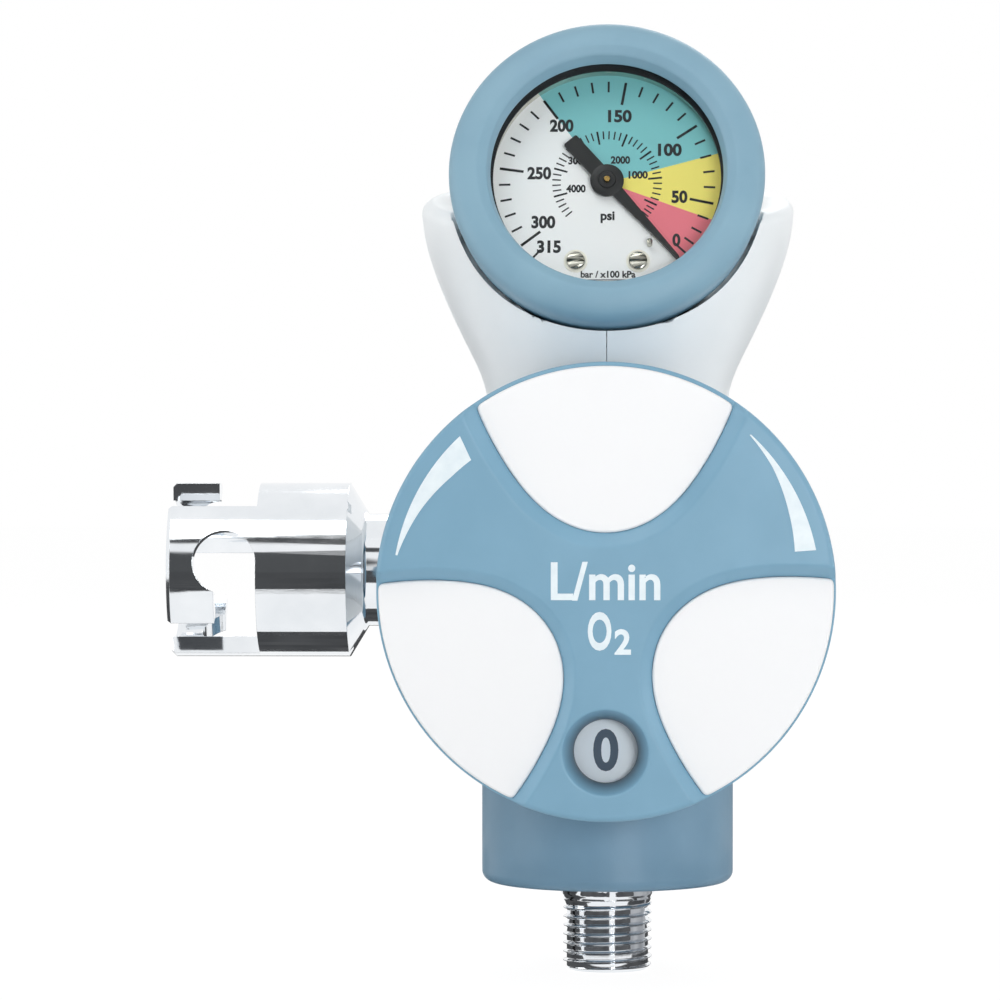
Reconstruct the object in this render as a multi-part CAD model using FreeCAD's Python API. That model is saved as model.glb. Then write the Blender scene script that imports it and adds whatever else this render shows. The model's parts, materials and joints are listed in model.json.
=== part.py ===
import FreeCAD, Part

# Cylinder regulator for oxygen with a flow selector, a tilted pressure gauge, a threaded outlet
# that points down and a quick outlet at the left. Millimetres, +Z up, front = -Y.
# The model is drawn round the crossing of the knob axis (Y) and the body axis (Z) and is moved at
# the end so that the origin lies in the middle of the inlet nut's thread.

import math
import os

V = FreeCAD.Vector

# Clearances
RUN = 0.05          # radial clearance of a running fit
SLIP = 0.2          # radial clearance round a covered piece
LIFT = 0.05         # gap between two pieces that only just meet
PAST = 1.0          # how far a cutter runs past the face that it opens
BEZEL_GAP = 0.2     # gap between the gauge's bezel and the shell
HUB_GAP = 0.6       # gap between the knob's hub and the flow plate
PIVOT_PLAY = 0.2    # play of the pivot where the gauge's closed linkage is opened

# Cross slots of the screws, as shares of the head's radius and height
DRIVE_WIDTH = 0.35
DRIVE_DEPTH = 0.5

# Brass body
BARREL_R = 17.8
BARREL_BOTTOM = -42.0
BARREL_TOP = -12.0
PISTON_WALL_BODY = 5.3  # brass between the piston bore and the barrel's face
CORE_R = 13.0
CORE_TOP = 22.0
FRONT_STAND = 1.7
FRONT_FACE = BARREL_R + FRONT_STAND
FRONT_BOSS_R = 15.0
REAR_FACE = 24.0
REAR_BOSS_R = 13.0
SIDE_BOSS_R = 8.6
SIDE_FACE = BARREL_R - SLIP
SIDE_Z = 2.0        # height of the quick outlet and of the relief valve
NECK_R = 7.8
NECK_Y = 5.0
NECK_TOP = 54.0
RISER_DROP = 9.0
RELIEF_WALL = 1.5
SEAL_COLLAR_R = 2.2

# High pressure side
SUPPLY_R = 3.0
CHAMBER_R = 4.5
CHAMBER_TOP = 8.0
CHAMBER_FLOOR = -6.0
SEAT_R = 6.0
SEAT_HOLE_R = 1.0
POPPET_TRAVEL = 0.4
POPPET_R = 3.4
POPPET_HEIGHT = 4.4
PIN_R = 0.6
GUIDE_R = 1.9
GUIDE_HEIGHT = 2.6
SEAT_LAND = 4.0
POPPET_COIL_R = 2.65
POPPET_WIRE_R = 0.3
POPPET_TURNS = 4

# Piston
PISTON_BORE_R = BARREL_R - PISTON_WALL_BODY
BARREL_MIDDLE_R = (BARREL_R + PISTON_BORE_R) / 2
PISTON_ROOF = -16.0
PISTON_CROWN = -18.0
CROWN_THICK = 3.0
PISTON_LENGTH = 10.0
PISTON_WALL = 2.2
PISTON_CHAMFER = 0.8
PISTON_COIL_GAP = 1.2
PISTON_WIRE_R = 0.85
PISTON_TURNS = 5
RING_LIP = 0.25     # rounded share of a seal's width
GROOVE_DEPTH = 1.5
GROOVE_WIDTH = 2.2
PISTON_GROOVE_DROP = 4.0

# Passages
DRILL_R = 1.2
METER_R = 1.0
METER_DROP = 6.5    # metering port below the knob axis
METER_Y = -BARREL_MIDDLE_R  # drilling inside the front wall of the barrel
SIDE_DRILL_IN = 2.5
SIDE_DRILL_X = PISTON_BORE_R - SIDE_DRILL_IN
FEED_X = SIDE_DRILL_X * 0.6
FEED_Y = -SIDE_DRILL_X * 0.8
FEED_Z = 4.0
OVERRUN = 1.6       # how far crossing drillings run past each other, in their own radii

# Outlet spigot, 9/16 inch thread of 18 turns to the inch
THREAD_R = 7.144
SPIGOT_END = -62.3
SPIGOT_CHAMFER = 0.8
NECK_END = -50.3
SPIGOT_NECK_R = 7.6
FLANGE_THICK = 4.0
PLUG_HEIGHT = 4.0
SPIGOT_BORE_R = 3.5
BARREL_SCREW_R = 1.25
BARREL_SCREW_HEAD_R = 2.2
BARREL_SCREW_HEAD = 1.8
BARREL_SCREW_LENGTH = 9.0
BARREL_SCREWS = 4
BARREL_SCREW_START = 45.0
NECK_STEP = 0.4
GALLERY_SINK = 0.2
GALLERY_REACH = 0.3

# Skirt, the blue sleeve round the barrel
SKIRT_TOP = -16.0
SKIRT_WALL = 2.2
SKIRT_R = BARREL_R + SLIP + SKIRT_WALL
SKIRT_FLOOR = 2.1
SKIRT_EDGE = 1.8
SKIRT_SCREWS = 3
SKIRT_SCREW_START = 90.0
SKIRT_SCREW_IN = 2.75
SKIRT_SCREW_PITCH_R = BARREL_MIDDLE_R - SKIRT_SCREW_IN
SKIRT_SCREW_R = 1.1
SKIRT_SCREW_HEAD_R = 2.2
SKIRT_SCREW_HEAD = 1.2
SKIRT_SCREW_LENGTH = 4.2

# Inlet, bullnose with a G 5/8 nut
STEM_THREAD_R = 7.0
STEM_DEPTH = 12.0
STEM_HEX = 19.0
STEM_HEX_LENGTH = 5.0
STEM_R = 6.4
STEM_BORE_R = 2.2
NOSE_R = 8.3
NOSE_START = 61.0
NOSE_END = 70.0
NOSE_TIP_R = 5.0
NOSE_RISE = 1.2
NOSE_LAND = 3.4
NOSE_GROOVE_DROP = 5.0
NOSE_GROOVE = NOSE_START + NOSE_GROOVE_DROP
NOSE_GROOVE_WIDTH = 1.8
NOSE_GROOVE_DEPTH = 1.5
NOSE_TAPER = 1.1
NOSE_TIP_TAPER = 1.8
NUT_START = 40.0
NUT_HEX = 30.0
NUT_HEX_LENGTH = 12.0
NUT_THREAD_R = 11.456
NUT_THREAD_LENGTH = 12.0
NUT_CORNER_CUT = 1.6
NUT_CHAMFER = 1.0
FILTER_R = 5.6
FILTER_LENGTH = 3.0

# Flow selector behind the knob
HOUSING_LENGTH = 16.5
HOUSING_FACE = FRONT_FACE + HOUSING_LENGTH
CAVITY_R = 10.7
CAVITY_DEPTH = 5.9
DISC_GAP = 0.9
DISC_R = 10.3
DISC_THICK = 3.0
POSITIONS = 12
METER_HOLE_MIN = 0.2
METER_HOLE_STEP = 0.05
DIMPLE_R = 8.9
DIMPLE_DEPTH = 0.6
BALL_R = 1.2
DETENT_ROOF = 4.0
DETENT_HOLE_END = HOUSING_FACE - DETENT_ROOF
DETENT_ANGLE = 105.0
DETENT_COIL_R = 0.745
DETENT_WIRE_R = 0.2
DETENT_TURNS = 4
SHAFT_R = 3.0
SHAFT_FLANGE_R = 5.0
SHAFT_FLANGE = 1.2
SHAFT_GROOVE_DROP = 7.0
SHAFT_GROOVE_Z = HOUSING_FACE - SHAFT_GROOVE_DROP
SHAFT_GROOVE_WIDTH = 1.8
SHAFT_GROOVE_DEPTH = 0.8
SHAFT_FLAT = 0.7
SELECTOR_SCREWS = 3
SELECTOR_SCREW_PITCH_R = 12.9
SELECTOR_SCREW_R = 1.25
SELECTOR_SCREW_HEAD_R = 2.1
SELECTOR_SCREW_HEAD = 1.1
SELECTOR_SCREW_DEPTH = 6.0
SELECTOR_SCREW_START = 30.0
SCALE_THICK = 1.1
SCALE_FRONT = HOUSING_FACE + SCALE_THICK
SPIGOT_OF_SCALE_R = 6.0

# Flow knob
KNOB_R = 35.0
KNOB_WALL = 2.6
KNOB_ROOM = 1.9
KNOB_INSIDE = SCALE_FRONT + KNOB_ROOM
KNOB_TOP = 5.0
KNOB_FRONT = KNOB_INSIDE + KNOB_TOP
KNOB_LENGTH = 21.5
KNOB_BACK = KNOB_FRONT - KNOB_LENGTH
KNOB_EDGE_DROP = 0.6
KNOB_EDGE = 1.5
SCALE_GAP = 1.4
SCALE_R = KNOB_R - KNOB_WALL - SCALE_GAP
HUB_R = 7.0
HUB_START = SCALE_FRONT + HUB_GAP
HUB_CAP = 1.6
HUB_BORE_END = KNOB_FRONT - HUB_CAP
RIM_LIP = 0.6
PANEL_UNDER = 1.5
PANEL_FLOOR = KNOB_INSIDE + PANEL_UNDER
PANEL_SHOULDER = 0.4
PANEL_INNER_DROP = 1.0
PANEL_OUTER_DROP = 2.8
PANEL_INNER_Z = KNOB_FRONT - PANEL_INNER_DROP
PANEL_OUTER_Z = KNOB_FRONT - PANEL_OUTER_DROP
PANEL_ARC_R = 15.35
PANEL_ARC_CENTRE = 24.5
PANEL_ARC_HALF = 62.0
PANEL_CORNER = 0.8
PANEL_EDGE = 0.5
PANEL_GAP = 0.08
PANELS = 3
PANEL_DOWN = 270.0
WINDOW_PITCH_R = 24.4
WINDOW_R = 4.85
WINDOW_MOUTH_R = 6.6

# Shell, two white halves that meet at the middle plane
SHELL_WALL = 2.0
SHELL_BOTTOM = -15.9
FLARE = ((0.0, -6.0), (-0.2, 9.0), (-1.1, 21.0), (-0.2, 32.3), (2.4, 38.1), (4.3, 42.0),
         (7.2, 48.8), (9.1, 55.1), (9.8, 61.5), (10.0, 74.0))  # beyond the skirt's radius, height
DECK_Z = 61.5
DECK_SLOPE = 10.0
DECK_EDGE = 2.0
POD_WALL = 1.5
POD_FRONT = -6.3
POD_BACK = -26.0
POD_EDGE = 3.0
SHELL_BOSS_R = 2.7
SHELL_SCREW_PLACES = ((17.2, 36.0), (-14.6, 27.0), (24.0, 54.0))
SHELL_SCREW_R = 1.1
SHELL_SCREW_HEAD_R = 2.0
SHELL_SCREW_HEAD = 1.8
SHELL_SCREW_SEAT = 7.0
SHELL_SCREW_LENGTH = 12.0
CAN_PLAY = 0.4
SADDLE_GAP = 0.4

# Quick outlet with three bayonet slots
SLEEVE_R = 14.0
SLEEVE_END = 70.0
SLEEVE_SHOULDER = 41.4
SLEEVE_CONE_END = 38.4
SLEEVE_NECK_R = 9.05
CUP_R = 11.2
CUP_FLOOR = 50.0
PROBE_R = 5.5
PROBE_END = 38.0
LAND_END = 36.0
LAND_R = 3.4
VALVE_R = 5.0
NIPPLE_R = 6.0
NIPPLE_END = 12.0
SLOTS = 3
SLOT_NEAR = 55.8
SLOT_FAR = 62.5
SLOT_POCKET_X = 60.8
SLOT_POCKET_R = 5.0
SLOT_POCKET_ANGLE = 7.0
SLOT_ENTRY_ANGLE = -54.0
SLOT_ENTRY_HALF = 18.0
QUICK_HEAD_R = 4.4
QUICK_STEM_R = 2.2
QUICK_STEM_END = 45.0
QUICK_HEAD_BACK = 33.0
QUICK_SPRING_END = 22.0
RETAINER_THICK = 2.0
SEAL_START = 43.0
SEAL_LENGTH = 2.4
SEAL_WALL = 1.1
SLEEVE_CHAMFER = 0.6
LAND_STEP = 1.0
QUICK_HEAD_CHAMFER = 0.6
QUICK_STEM_CHAMFER = 0.8
QUICK_TAIL = 2.0
QUICK_COIL_R = 3.3
QUICK_WIRE_R = 0.35
QUICK_TURNS = 5

# Relief valve
RELIEF_SINK = 1.4
RELIEF_DEPTH = 5.8
RELIEF_FACE = BARREL_R - RELIEF_SINK
RELIEF_SEAT_X = RELIEF_FACE - RELIEF_DEPTH
RELIEF_BORE_R = 4.5
RELIEF_POPPET_R = 3.3
RELIEF_POPPET = 1.8
RELIEF_CAP = 1.6
RELIEF_VENT_R = 1.0
RELIEF_COIL_R = 2.5
RELIEF_WIRE_R = 0.25
RELIEF_TURNS = 3

# Gauge; its own axis leans back by TILT, heights w run forward along it from the widest ring
TILT = 17.5
GAUGE_Y = -19.0
GAUGE_Z = 64.8
BEZEL_R = 24.8
BEZEL_BACK_IN = 0.6
BEZEL_BACK_R = BEZEL_R - BEZEL_BACK_IN
BEZEL_BACK = -6.0
RIDGE_IN = 3.2
RIDGE_R = BEZEL_R - RIDGE_IN
RIDGE_W = 3.6
WINDOW_IN = 6.5
WINDOW_OPEN_R = BEZEL_R - WINDOW_IN
BEZEL_SIDE_IN = 0.75
BEZEL_SIDE_W = 2.376
POD_IN = 0.8
POD_R = BEZEL_R - POD_IN
BEZEL_LIP_W = 1.0
GLASS_HOLD = 1.6
GLASS_R = WINDOW_OPEN_R + GLASS_HOLD
GLASS_FRONT = 0.3
GLASS_THICK = 1.9
CAN_IN = 2.8
CAN_R = BEZEL_R - CAN_IN
CAN_WALL = 1.2
CAN_BACK = -20.0
CAN_FRONT = -1.6
DIAL_W = -4.2
DIAL_THICK = 0.6
DIAL_R = CAN_R - CAN_WALL - SLIP
SPACER_WALL = 1.1
DIAL_HOLE_R = 1.3
DIAL_SCREW_U = 4.9
SOCKET_V = -13.1
DIAL_SCREW_R = 0.8
DIAL_SCREW_HEAD_R = 1.4
DIAL_SCREW_HEAD = 0.5
DIAL_SCREW_LENGTH = 4.0
DIAL_POST_R = 1.9
STOP_R = 12.3
STOP_ANGLE = -57.0
STOP_PIN_R = 0.45
STOP_PIN_FRONT = -2.6
SOCKET_SHANK_R = 5.0
SOCKET_SHANK_END = -30.5
SOCKET_HALF = 7.0
SOCKET_BLOCK_BACK = -18.6
SOCKET_BLOCK_FRONT = -10.4
SOCKET_BLOCK_LOW = -20.0
SOCKET_BLOCK_HIGH = -6.0
SOCKET_BORE_R = 1.2
SOCKET_HEAD_CUT = -20.6
TUBE_R = 14.5
TUBE_HALF_THICK = 1.3
TUBE_HALF_WIDE = 3.5
TUBE_WALL = 0.45
TUBE_W = -14.5
TUBE_START = -75.0
TUBE_TIP = 160.0
TIP_WIDE = 2.2
TIP_HIGH = 2.4
TIP_INSIDE = 1.6
TIP_BELOW = 0.6
TIP_GAP = 0.4
ARM_HALF = 0.7
ARM_LENGTH = 1.4
ARM_THICK = 1.0
PLATE_THICK = 0.7
BACK_PLATE_W = -10.3
FRONT_PLATE_W = -6.0
PLATE_R = 4.2
PLATE_HALF = 9.4
PILLAR_R = 0.7
PILLAR_U = 2.6
PILLAR_V = 2.2
WING_SHARE = 0.6
WEB_SHARE = 1.1
TAB_WIDE = 5.0
TAB_HIGH = 6.0
PINION_TEETH = 12
SECTOR_TEETH = 96
GEAR_MODULE = 0.15
TOOTH_RISE = 0.6    # share of the module, kept low for a free-running train
SECTOR_FIRST = -6.0
SECTOR_LAST = 41.0
SECTOR_W = -8.6
SECTOR_THICK = 0.8
TAIL = 3.2
TAIL_HALF = 0.8
SECTOR_HUB_LOW = 1.0
SECTOR_HUB_HIGH = 1.2
ROOT_PLAY = 0.03
TOOTH_ROOT_HALF = 0.30
TOOTH_TIP_HALF = 0.12
PIN_STAND = 0.2
PINION_SIDE = 0.1
SPINDLE_R = 0.45
SPINDLE_FRONT = -2.3
POINTER_W = -3.4
POINTER_THICK = 0.4
POINTER_ZERO = -49.0
POINTER_IN = 7.6
POINTER_TIP = BEZEL_R - POINTER_IN
POINTER_POINT = 0.6
POINTER_BOSS = 0.25
POINTER_BOSS_SHARE = 0.5
POINTER_TAIL = 9.0
POINTER_TAIL_HALF = 1.3
POINTER_HUB_R = 2.65
POINTER_ROOT_HALF = 0.8
POINTER_TIP_HALF = 0.25
LINK_W = -7.5
LINK_THICK = 0.4
LINK_HALF = 0.7
LINK_PIN_R = 0.35
LINK_END_EXTRA = 0.2
LINK_PIN_OUT = 0.4
LINK_PIN_V = 4.3

# Row origin: middle of the inlet nut's thread
ORIGIN_Y = NUT_START + NUT_HEX_LENGTH + NUT_THREAD_LENGTH / 2

# Worked-out places
NUT_END = NUT_START + NUT_HEX_LENGTH + NUT_THREAD_LENGTH
SKIRT_BOTTOM = BARREL_BOTTOM - FLANGE_THICK - SKIRT_FLOOR
CAVITY_TOP = FRONT_FACE + CAVITY_DEPTH
DISC_BACK = FRONT_FACE + DISC_GAP
DISC_FRONT = DISC_BACK + DISC_THICK
PLUG_TOP = BARREL_BOTTOM + PLUG_HEIGHT
SECTOR_R = GEAR_MODULE * SECTOR_TEETH / 2
PINION_R = GEAR_MODULE * PINION_TEETH / 2
SECTOR_U = -(SECTOR_R + PINION_R)


def cyl(radius, low, high, x=0.0, y=0.0):
    """Upright cylinder between two heights."""
    return Part.makeCylinder(radius, high - low, V(x, y, low))


def ring(outer, inner, low, high):
    """Upright ring between two heights."""
    return cyl(outer, low, high).cut(cyl(inner, low - PAST, high + PAST))


def face_of(points):
    """Flat face inside a closed outline of points."""
    return Part.Face(Part.makePolygon(list(points) + [points[0]]))


def turned(outline):
    """Solid turned about Z from (radius, height) corners."""
    section = face_of([V(r, 0, z) for r, z in outline])
    return section.revolve(V(0, 0, 0), V(0, 0, 1), 360)


def flat(outline, low, high):
    """Solid of straight thickness from (x, y) corners."""
    return face_of([V(x, y, low) for x, y in outline]).extrude(V(0, 0, high - low))


def polar(radius, degrees):
    """Point on a circle as an (x, y) pair."""
    a = math.radians(degrees)
    return radius * math.cos(a), radius * math.sin(a)


def hexagon(across_flats, low, high):
    """Upright hexagonal bar."""
    corner = across_flats / math.sqrt(3)
    return flat([polar(corner, 60 * i + 30) for i in range(6)], low, high)


def round_edges(shape, size, wanted):
    """Fillet the edges for which the test function says yes."""
    return shape.makeFillet(size, [e for e in shape.Edges if wanted(e)])


def is_circle(radius, z):
    """Test for a full circular edge of a radius at a height."""
    def test(edge):
        if not isinstance(edge.Curve, Part.Circle):
            return False
        return abs(edge.Curve.Radius - radius) < 0.01 and abs(edge.Curve.Center.z - z) < 0.01
    return test


def coil(radius, wire, low, high, turns):
    """Compression spring of hexagonal wire section with its axis on Z."""
    height = high - low - 2 * wire
    path = Part.makeHelix(height / turns, height, radius)
    path.translate(V(0, 0, low + wire))
    rim = [V(radius + x, 0, low + wire + z) for x, z in (polar(wire, 60 * i) for i in range(6))]
    section = Part.makePolygon(rim + [rim[0]])
    return Part.Wire(path).makePipeShell([section], True, True)


def turn(shape, axis, degrees):
    """Copy of a shape turned about an axis through the origin."""
    other = shape.copy()
    other.rotate(V(0, 0, 0), axis, degrees)
    return other


def to_front(shape):
    """Local heights run towards the front; local y is up."""
    return turn(shape, V(1, 0, 0), 90)


def to_rear(shape):
    """Local heights run towards the rear; local y is down."""
    return turn(shape, V(1, 0, 0), -90)


def to_left(shape):
    """Local heights run to the left, on the quick outlet's axis."""
    other = turn(shape, V(0, 1, 0), -90)
    other.translate(V(0, 0, SIDE_Z))
    return other


def to_right(shape):
    """Local heights run to the right, on the relief valve's axis."""
    other = turn(shape, V(0, 1, 0), 90)
    other.translate(V(0, 0, SIDE_Z))
    return other


def to_gauge(shape):
    """Local heights run out of the dial; local y is up along the dial."""
    other = turn(shape, V(1, 0, 0), 90 - TILT)
    other.translate(V(0, GAUGE_Y, GAUGE_Z))
    return other


def body_block():
    """Forged brass body with its bosses, bores and drillings."""
    block = cyl(BARREL_R, BARREL_BOTTOM, BARREL_TOP)
    block = block.fuse(cyl(CORE_R, BARREL_TOP - PAST, CORE_TOP))
    block = block.fuse(to_front(cyl(FRONT_BOSS_R, 0, FRONT_FACE)))
    block = block.fuse(to_rear(cyl(REAR_BOSS_R, 0, REAR_FACE)))
    block = block.fuse(to_left(cyl(SIDE_BOSS_R, 0, SIDE_FACE)))
    block = block.fuse(to_right(cyl(RELIEF_BORE_R + RELIEF_WALL, 0, RELIEF_FACE)))
    neck = cyl(NECK_R, 0, NECK_TOP, 0, NECK_Y)
    neck = neck.cut(to_gauge(cyl(CAN_R * 2, SOCKET_HEAD_CUT, CAN_R * 2)))
    block = block.fuse(neck)
    supply = to_rear(cyl(SUPPLY_R, 0, REAR_FACE))
    filter_pocket = to_rear(cyl(FILTER_R + RUN, STEM_DEPTH - FILTER_LENGTH, REAR_FACE))
    stem_bore = to_rear(cyl(STEM_THREAD_R, STEM_DEPTH, REAR_FACE + PAST))
    chamber = cyl(CHAMBER_R, CHAMBER_FLOOR, CHAMBER_TOP)
    seat_bore = cyl(SEAT_R, PISTON_ROOF - PAST, CHAMBER_FLOOR)
    piston_bore = cyl(PISTON_BORE_R, BARREL_BOTTOM - PAST, PISTON_ROOF)
    riser = cyl(DRILL_R, 0, NECK_TOP - RISER_DROP, 0, NECK_Y)
    socket_bore = to_gauge(cyl(SOCKET_SHANK_R, SOCKET_SHANK_END, 0, 0, SOCKET_V))
    mouth = FRONT_FACE + PAST
    meter_down = cyl(METER_R, BARREL_BOTTOM - PAST, OVERRUN * METER_R - METER_DROP, 0, METER_Y)
    meter_port = to_front(cyl(METER_R + RUN, -METER_Y - OVERRUN * METER_R, mouth, 0, -METER_DROP))
    seal_seat = to_front(cyl(SEAL_COLLAR_R + RUN, FRONT_FACE - DISC_GAP, mouth, 0, -METER_DROP))
    feed_up = cyl(DRILL_R, PISTON_ROOF - PAST, FEED_Z + OVERRUN * DRILL_R, FEED_X, FEED_Y)
    feed_out = to_front(cyl(DRILL_R + RUN, -FEED_Y - OVERRUN * DRILL_R, mouth, FEED_X, FEED_Z))
    tools = [supply, filter_pocket, stem_bore, chamber, seat_bore, piston_bore, riser, socket_bore,
             meter_down, meter_port, seal_seat, feed_up, feed_out]
    for side in (-1, 1):
        tools.append(cyl(DRILL_R, PISTON_ROOF - PAST, SIDE_Z, side * SIDE_DRILL_X, 0))
    tools.append(to_left(cyl(NIPPLE_R, NIPPLE_END, SIDE_FACE + PAST)))
    tools.append(to_left(cyl(VALVE_R, SIDE_DRILL_X - OVERRUN * DRILL_R, NIPPLE_END)))
    tools.append(to_right(cyl(RELIEF_BORE_R, RELIEF_SEAT_X, RELIEF_FACE + PAST)))
    tools += barrel_screw_holes(BARREL_SCREW_R, BARREL_BOTTOM - PAST, BARREL_BOTTOM + BARREL_SCREW_LENGTH)
    tools += [to_front(h) for h in selector_screw_holes(
        SELECTOR_SCREW_R, FRONT_FACE - SELECTOR_SCREW_DEPTH, mouth)]
    return block.cut(Part.makeCompound(tools)).removeSplitter()


def screw_holes(count, pitch_r, radius, low, high, start):
    """Upright cylinders on a circle."""
    places = [polar(pitch_r, start + 360 * i / count) for i in range(count)]
    return [cyl(radius, low, high, x, y) for x, y in places]


def barrel_screw_holes(radius, low, high):
    """Cylinders at the places of the barrel's screws."""
    return screw_holes(BARREL_SCREWS, BARREL_MIDDLE_R, radius, low, high, BARREL_SCREW_START)


def skirt_screw_holes(radius, low, high):
    """Cylinders at the places of the skirt's screws."""
    return screw_holes(SKIRT_SCREWS, SKIRT_SCREW_PITCH_R, radius, low, high, SKIRT_SCREW_START)


def selector_screw_holes(radius, low, high):
    """Cylinders at the places of the selector's screws."""
    return screw_holes(SELECTOR_SCREWS, SELECTOR_SCREW_PITCH_R, radius, low, high, SELECTOR_SCREW_START)


def cut_all(shape, tools):
    """The shape less each of the tools."""
    for tool in tools:
        shape = shape.cut(tool)
    return shape


def cap_screw(radius, head_r, head, length):
    """Screw that hangs down from z = 0, with its head above and a slot across the head."""
    screw = cyl(head_r, 0, head).fuse(cyl(radius, -length, 0))
    width = head_r * DRIVE_WIDTH
    depth = head * DRIVE_DEPTH
    slot = Part.makeBox(head_r * 4, width, depth, V(-head_r * 2, -width / 2, head - depth))
    return screw.cut(slot)


def screw_circle(count, pitch_r, screw, z, start):
    """Like screws on a circle, as one group of separate solids."""
    group = []
    for i in range(count):
        x, y = polar(pitch_r, start + 360 * i / count)
        one = screw.copy()
        one.translate(V(x, y, z))
        group.append(one)
    return Part.makeCompound(group)


def valve_seat():
    """Threaded seat insert between the high pressure chamber and the piston."""
    seat = cyl(SEAT_R, PISTON_ROOF, CHAMBER_FLOOR)
    recess = hexagon(SEAT_R, PISTON_ROOF - PAST, CHAMBER_FLOOR - SEAT_LAND)
    return seat.cut(recess).cut(cyl(SEAT_HOLE_R, PISTON_ROOF - PAST, CHAMBER_FLOOR + PAST))


def valve_poppet():
    """Poppet held off its seat by a pin that stands on the piston."""
    low = CHAMBER_FLOOR + POPPET_TRAVEL
    top = low + POPPET_HEIGHT
    return turned([(0, PISTON_CROWN + LIFT), (PIN_R, PISTON_CROWN + LIFT), (PIN_R, low), (POPPET_R, low),
                   (POPPET_R, top), (GUIDE_R, top), (GUIDE_R, top + GUIDE_HEIGHT), (0, top + GUIDE_HEIGHT)])


def poppet_spring():
    """Small spring above the poppet."""
    low = CHAMBER_FLOOR + POPPET_TRAVEL + POPPET_HEIGHT
    return coil(POPPET_COIL_R, POPPET_WIRE_R, low + LIFT, CHAMBER_TOP - LIFT, POPPET_TURNS)


def piston():
    """Spring-loaded piston, a cup open downward with a seal groove."""
    r = PISTON_BORE_R - RUN
    groove_top = PISTON_CROWN - PISTON_GROOVE_DROP
    groove_low = groove_top - GROOVE_WIDTH
    low = PISTON_CROWN - PISTON_LENGTH
    inner = r - GROOVE_DEPTH - PISTON_WALL
    under = PISTON_CROWN - CROWN_THICK
    edge = PISTON_CHAMFER
    return turned([(0, PISTON_CROWN), (r - edge, PISTON_CROWN), (r, PISTON_CROWN - edge), (r, groove_top),
                   (r - GROOVE_DEPTH, groove_top), (r - GROOVE_DEPTH, groove_low), (r, groove_low),
                   (r, low), (inner, low), (inner, under), (0, under)])


def seal_ring(bore_r, depth, low, width):
    """Ring seal seated in a groove, with rounded lips."""
    inner = bore_r - depth
    lip = width * RING_LIP
    return turned([(inner, low + LIFT), (bore_r - lip, low + LIFT), (bore_r, low + lip),
                   (bore_r, low + width - lip), (bore_r - lip, low + width - LIFT),
                   (inner, low + width - LIFT)])


def piston_o_ring():
    """Seal of the piston."""
    low = PISTON_CROWN - PISTON_GROOVE_DROP - GROOVE_WIDTH
    r = PISTON_BORE_R - RUN
    return seal_ring(r, GROOVE_DEPTH, low, GROOVE_WIDTH)


def piston_spring():
    """Main spring below the piston."""
    inner = PISTON_BORE_R - RUN - GROOVE_DEPTH - PISTON_WALL
    top = PISTON_CROWN - CROWN_THICK - LIFT
    return coil(inner - PISTON_COIL_GAP, PISTON_WIRE_R, PLUG_TOP + LIFT, top, PISTON_TURNS)


def outlet_spigot():
    """Chromed outlet with its flange, the plug that closes the piston bore and the gallery."""
    under = BARREL_BOTTOM - FLANGE_THICK
    groove = BARREL_BOTTOM + (PLUG_HEIGHT - GROOVE_WIDTH) / 2
    plug = PISTON_BORE_R - RUN
    low = SPIGOT_END
    spigot = turned([(0, PLUG_TOP), (plug, PLUG_TOP), (plug, groove + GROOVE_WIDTH),
                     (plug - GROOVE_DEPTH, groove + GROOVE_WIDTH), (plug - GROOVE_DEPTH, groove),
                     (plug, groove), (plug, BARREL_BOTTOM), (BARREL_R, BARREL_BOTTOM), (BARREL_R, under),
                     (SPIGOT_NECK_R, under), (SPIGOT_NECK_R, NECK_END + NECK_STEP), (THREAD_R, NECK_END),
                     (THREAD_R, low + SPIGOT_CHAMFER), (THREAD_R - SPIGOT_CHAMFER, low), (0, low)])
    gallery_z = BARREL_BOTTOM - FLANGE_THICK / 2
    spigot = spigot.cut(cyl(SPIGOT_BORE_R, low - PAST, gallery_z + METER_R))
    gallery = to_front(cyl(METER_R, 0, BARREL_R + PAST))
    gallery.translate(V(0, 0, gallery_z))
    spigot = spigot.cut(gallery).cut(cyl(METER_R, gallery_z, BARREL_BOTTOM + PAST, 0, METER_Y))
    spigot = cut_all(spigot, barrel_screw_holes(BARREL_SCREW_R, under - PAST, PLUG_TOP))
    sink = under + BARREL_SCREW_HEAD
    spigot = cut_all(spigot, barrel_screw_holes(BARREL_SCREW_HEAD_R + RUN, under - PAST, sink))
    skirt_hole_top = under + SKIRT_SCREW_LENGTH - SKIRT_FLOOR + SKIRT_SCREW_HEAD
    return cut_all(spigot, skirt_screw_holes(SKIRT_SCREW_R, under - PAST, skirt_hole_top))


def outlet_o_ring():
    """Seal of the plug in the piston bore."""
    low = BARREL_BOTTOM + (PLUG_HEIGHT - GROOVE_WIDTH) / 2
    return seal_ring(PISTON_BORE_R, GROOVE_DEPTH + RUN, low, GROOVE_WIDTH)


def outlet_screws():
    """Screws that hold the outlet flange up against the barrel."""
    screw = cap_screw(BARREL_SCREW_R, BARREL_SCREW_HEAD_R, BARREL_SCREW_HEAD,
                      BARREL_SCREW_LENGTH + FLANGE_THICK - BARREL_SCREW_HEAD)
    screw = turn(screw, V(1, 0, 0), 180)
    seat = BARREL_BOTTOM - FLANGE_THICK + BARREL_SCREW_HEAD
    return screw_circle(BARREL_SCREWS, BARREL_MIDDLE_R, screw, seat, BARREL_SCREW_START)


def gallery_plug():
    """Steel plug that closes the outer end of the gallery drilling."""
    plug = to_front(cyl(METER_R, -METER_Y + METER_R + GALLERY_REACH, BARREL_R - GALLERY_SINK))
    plug.translate(V(0, 0, BARREL_BOTTOM - FLANGE_THICK / 2))
    return plug


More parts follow.
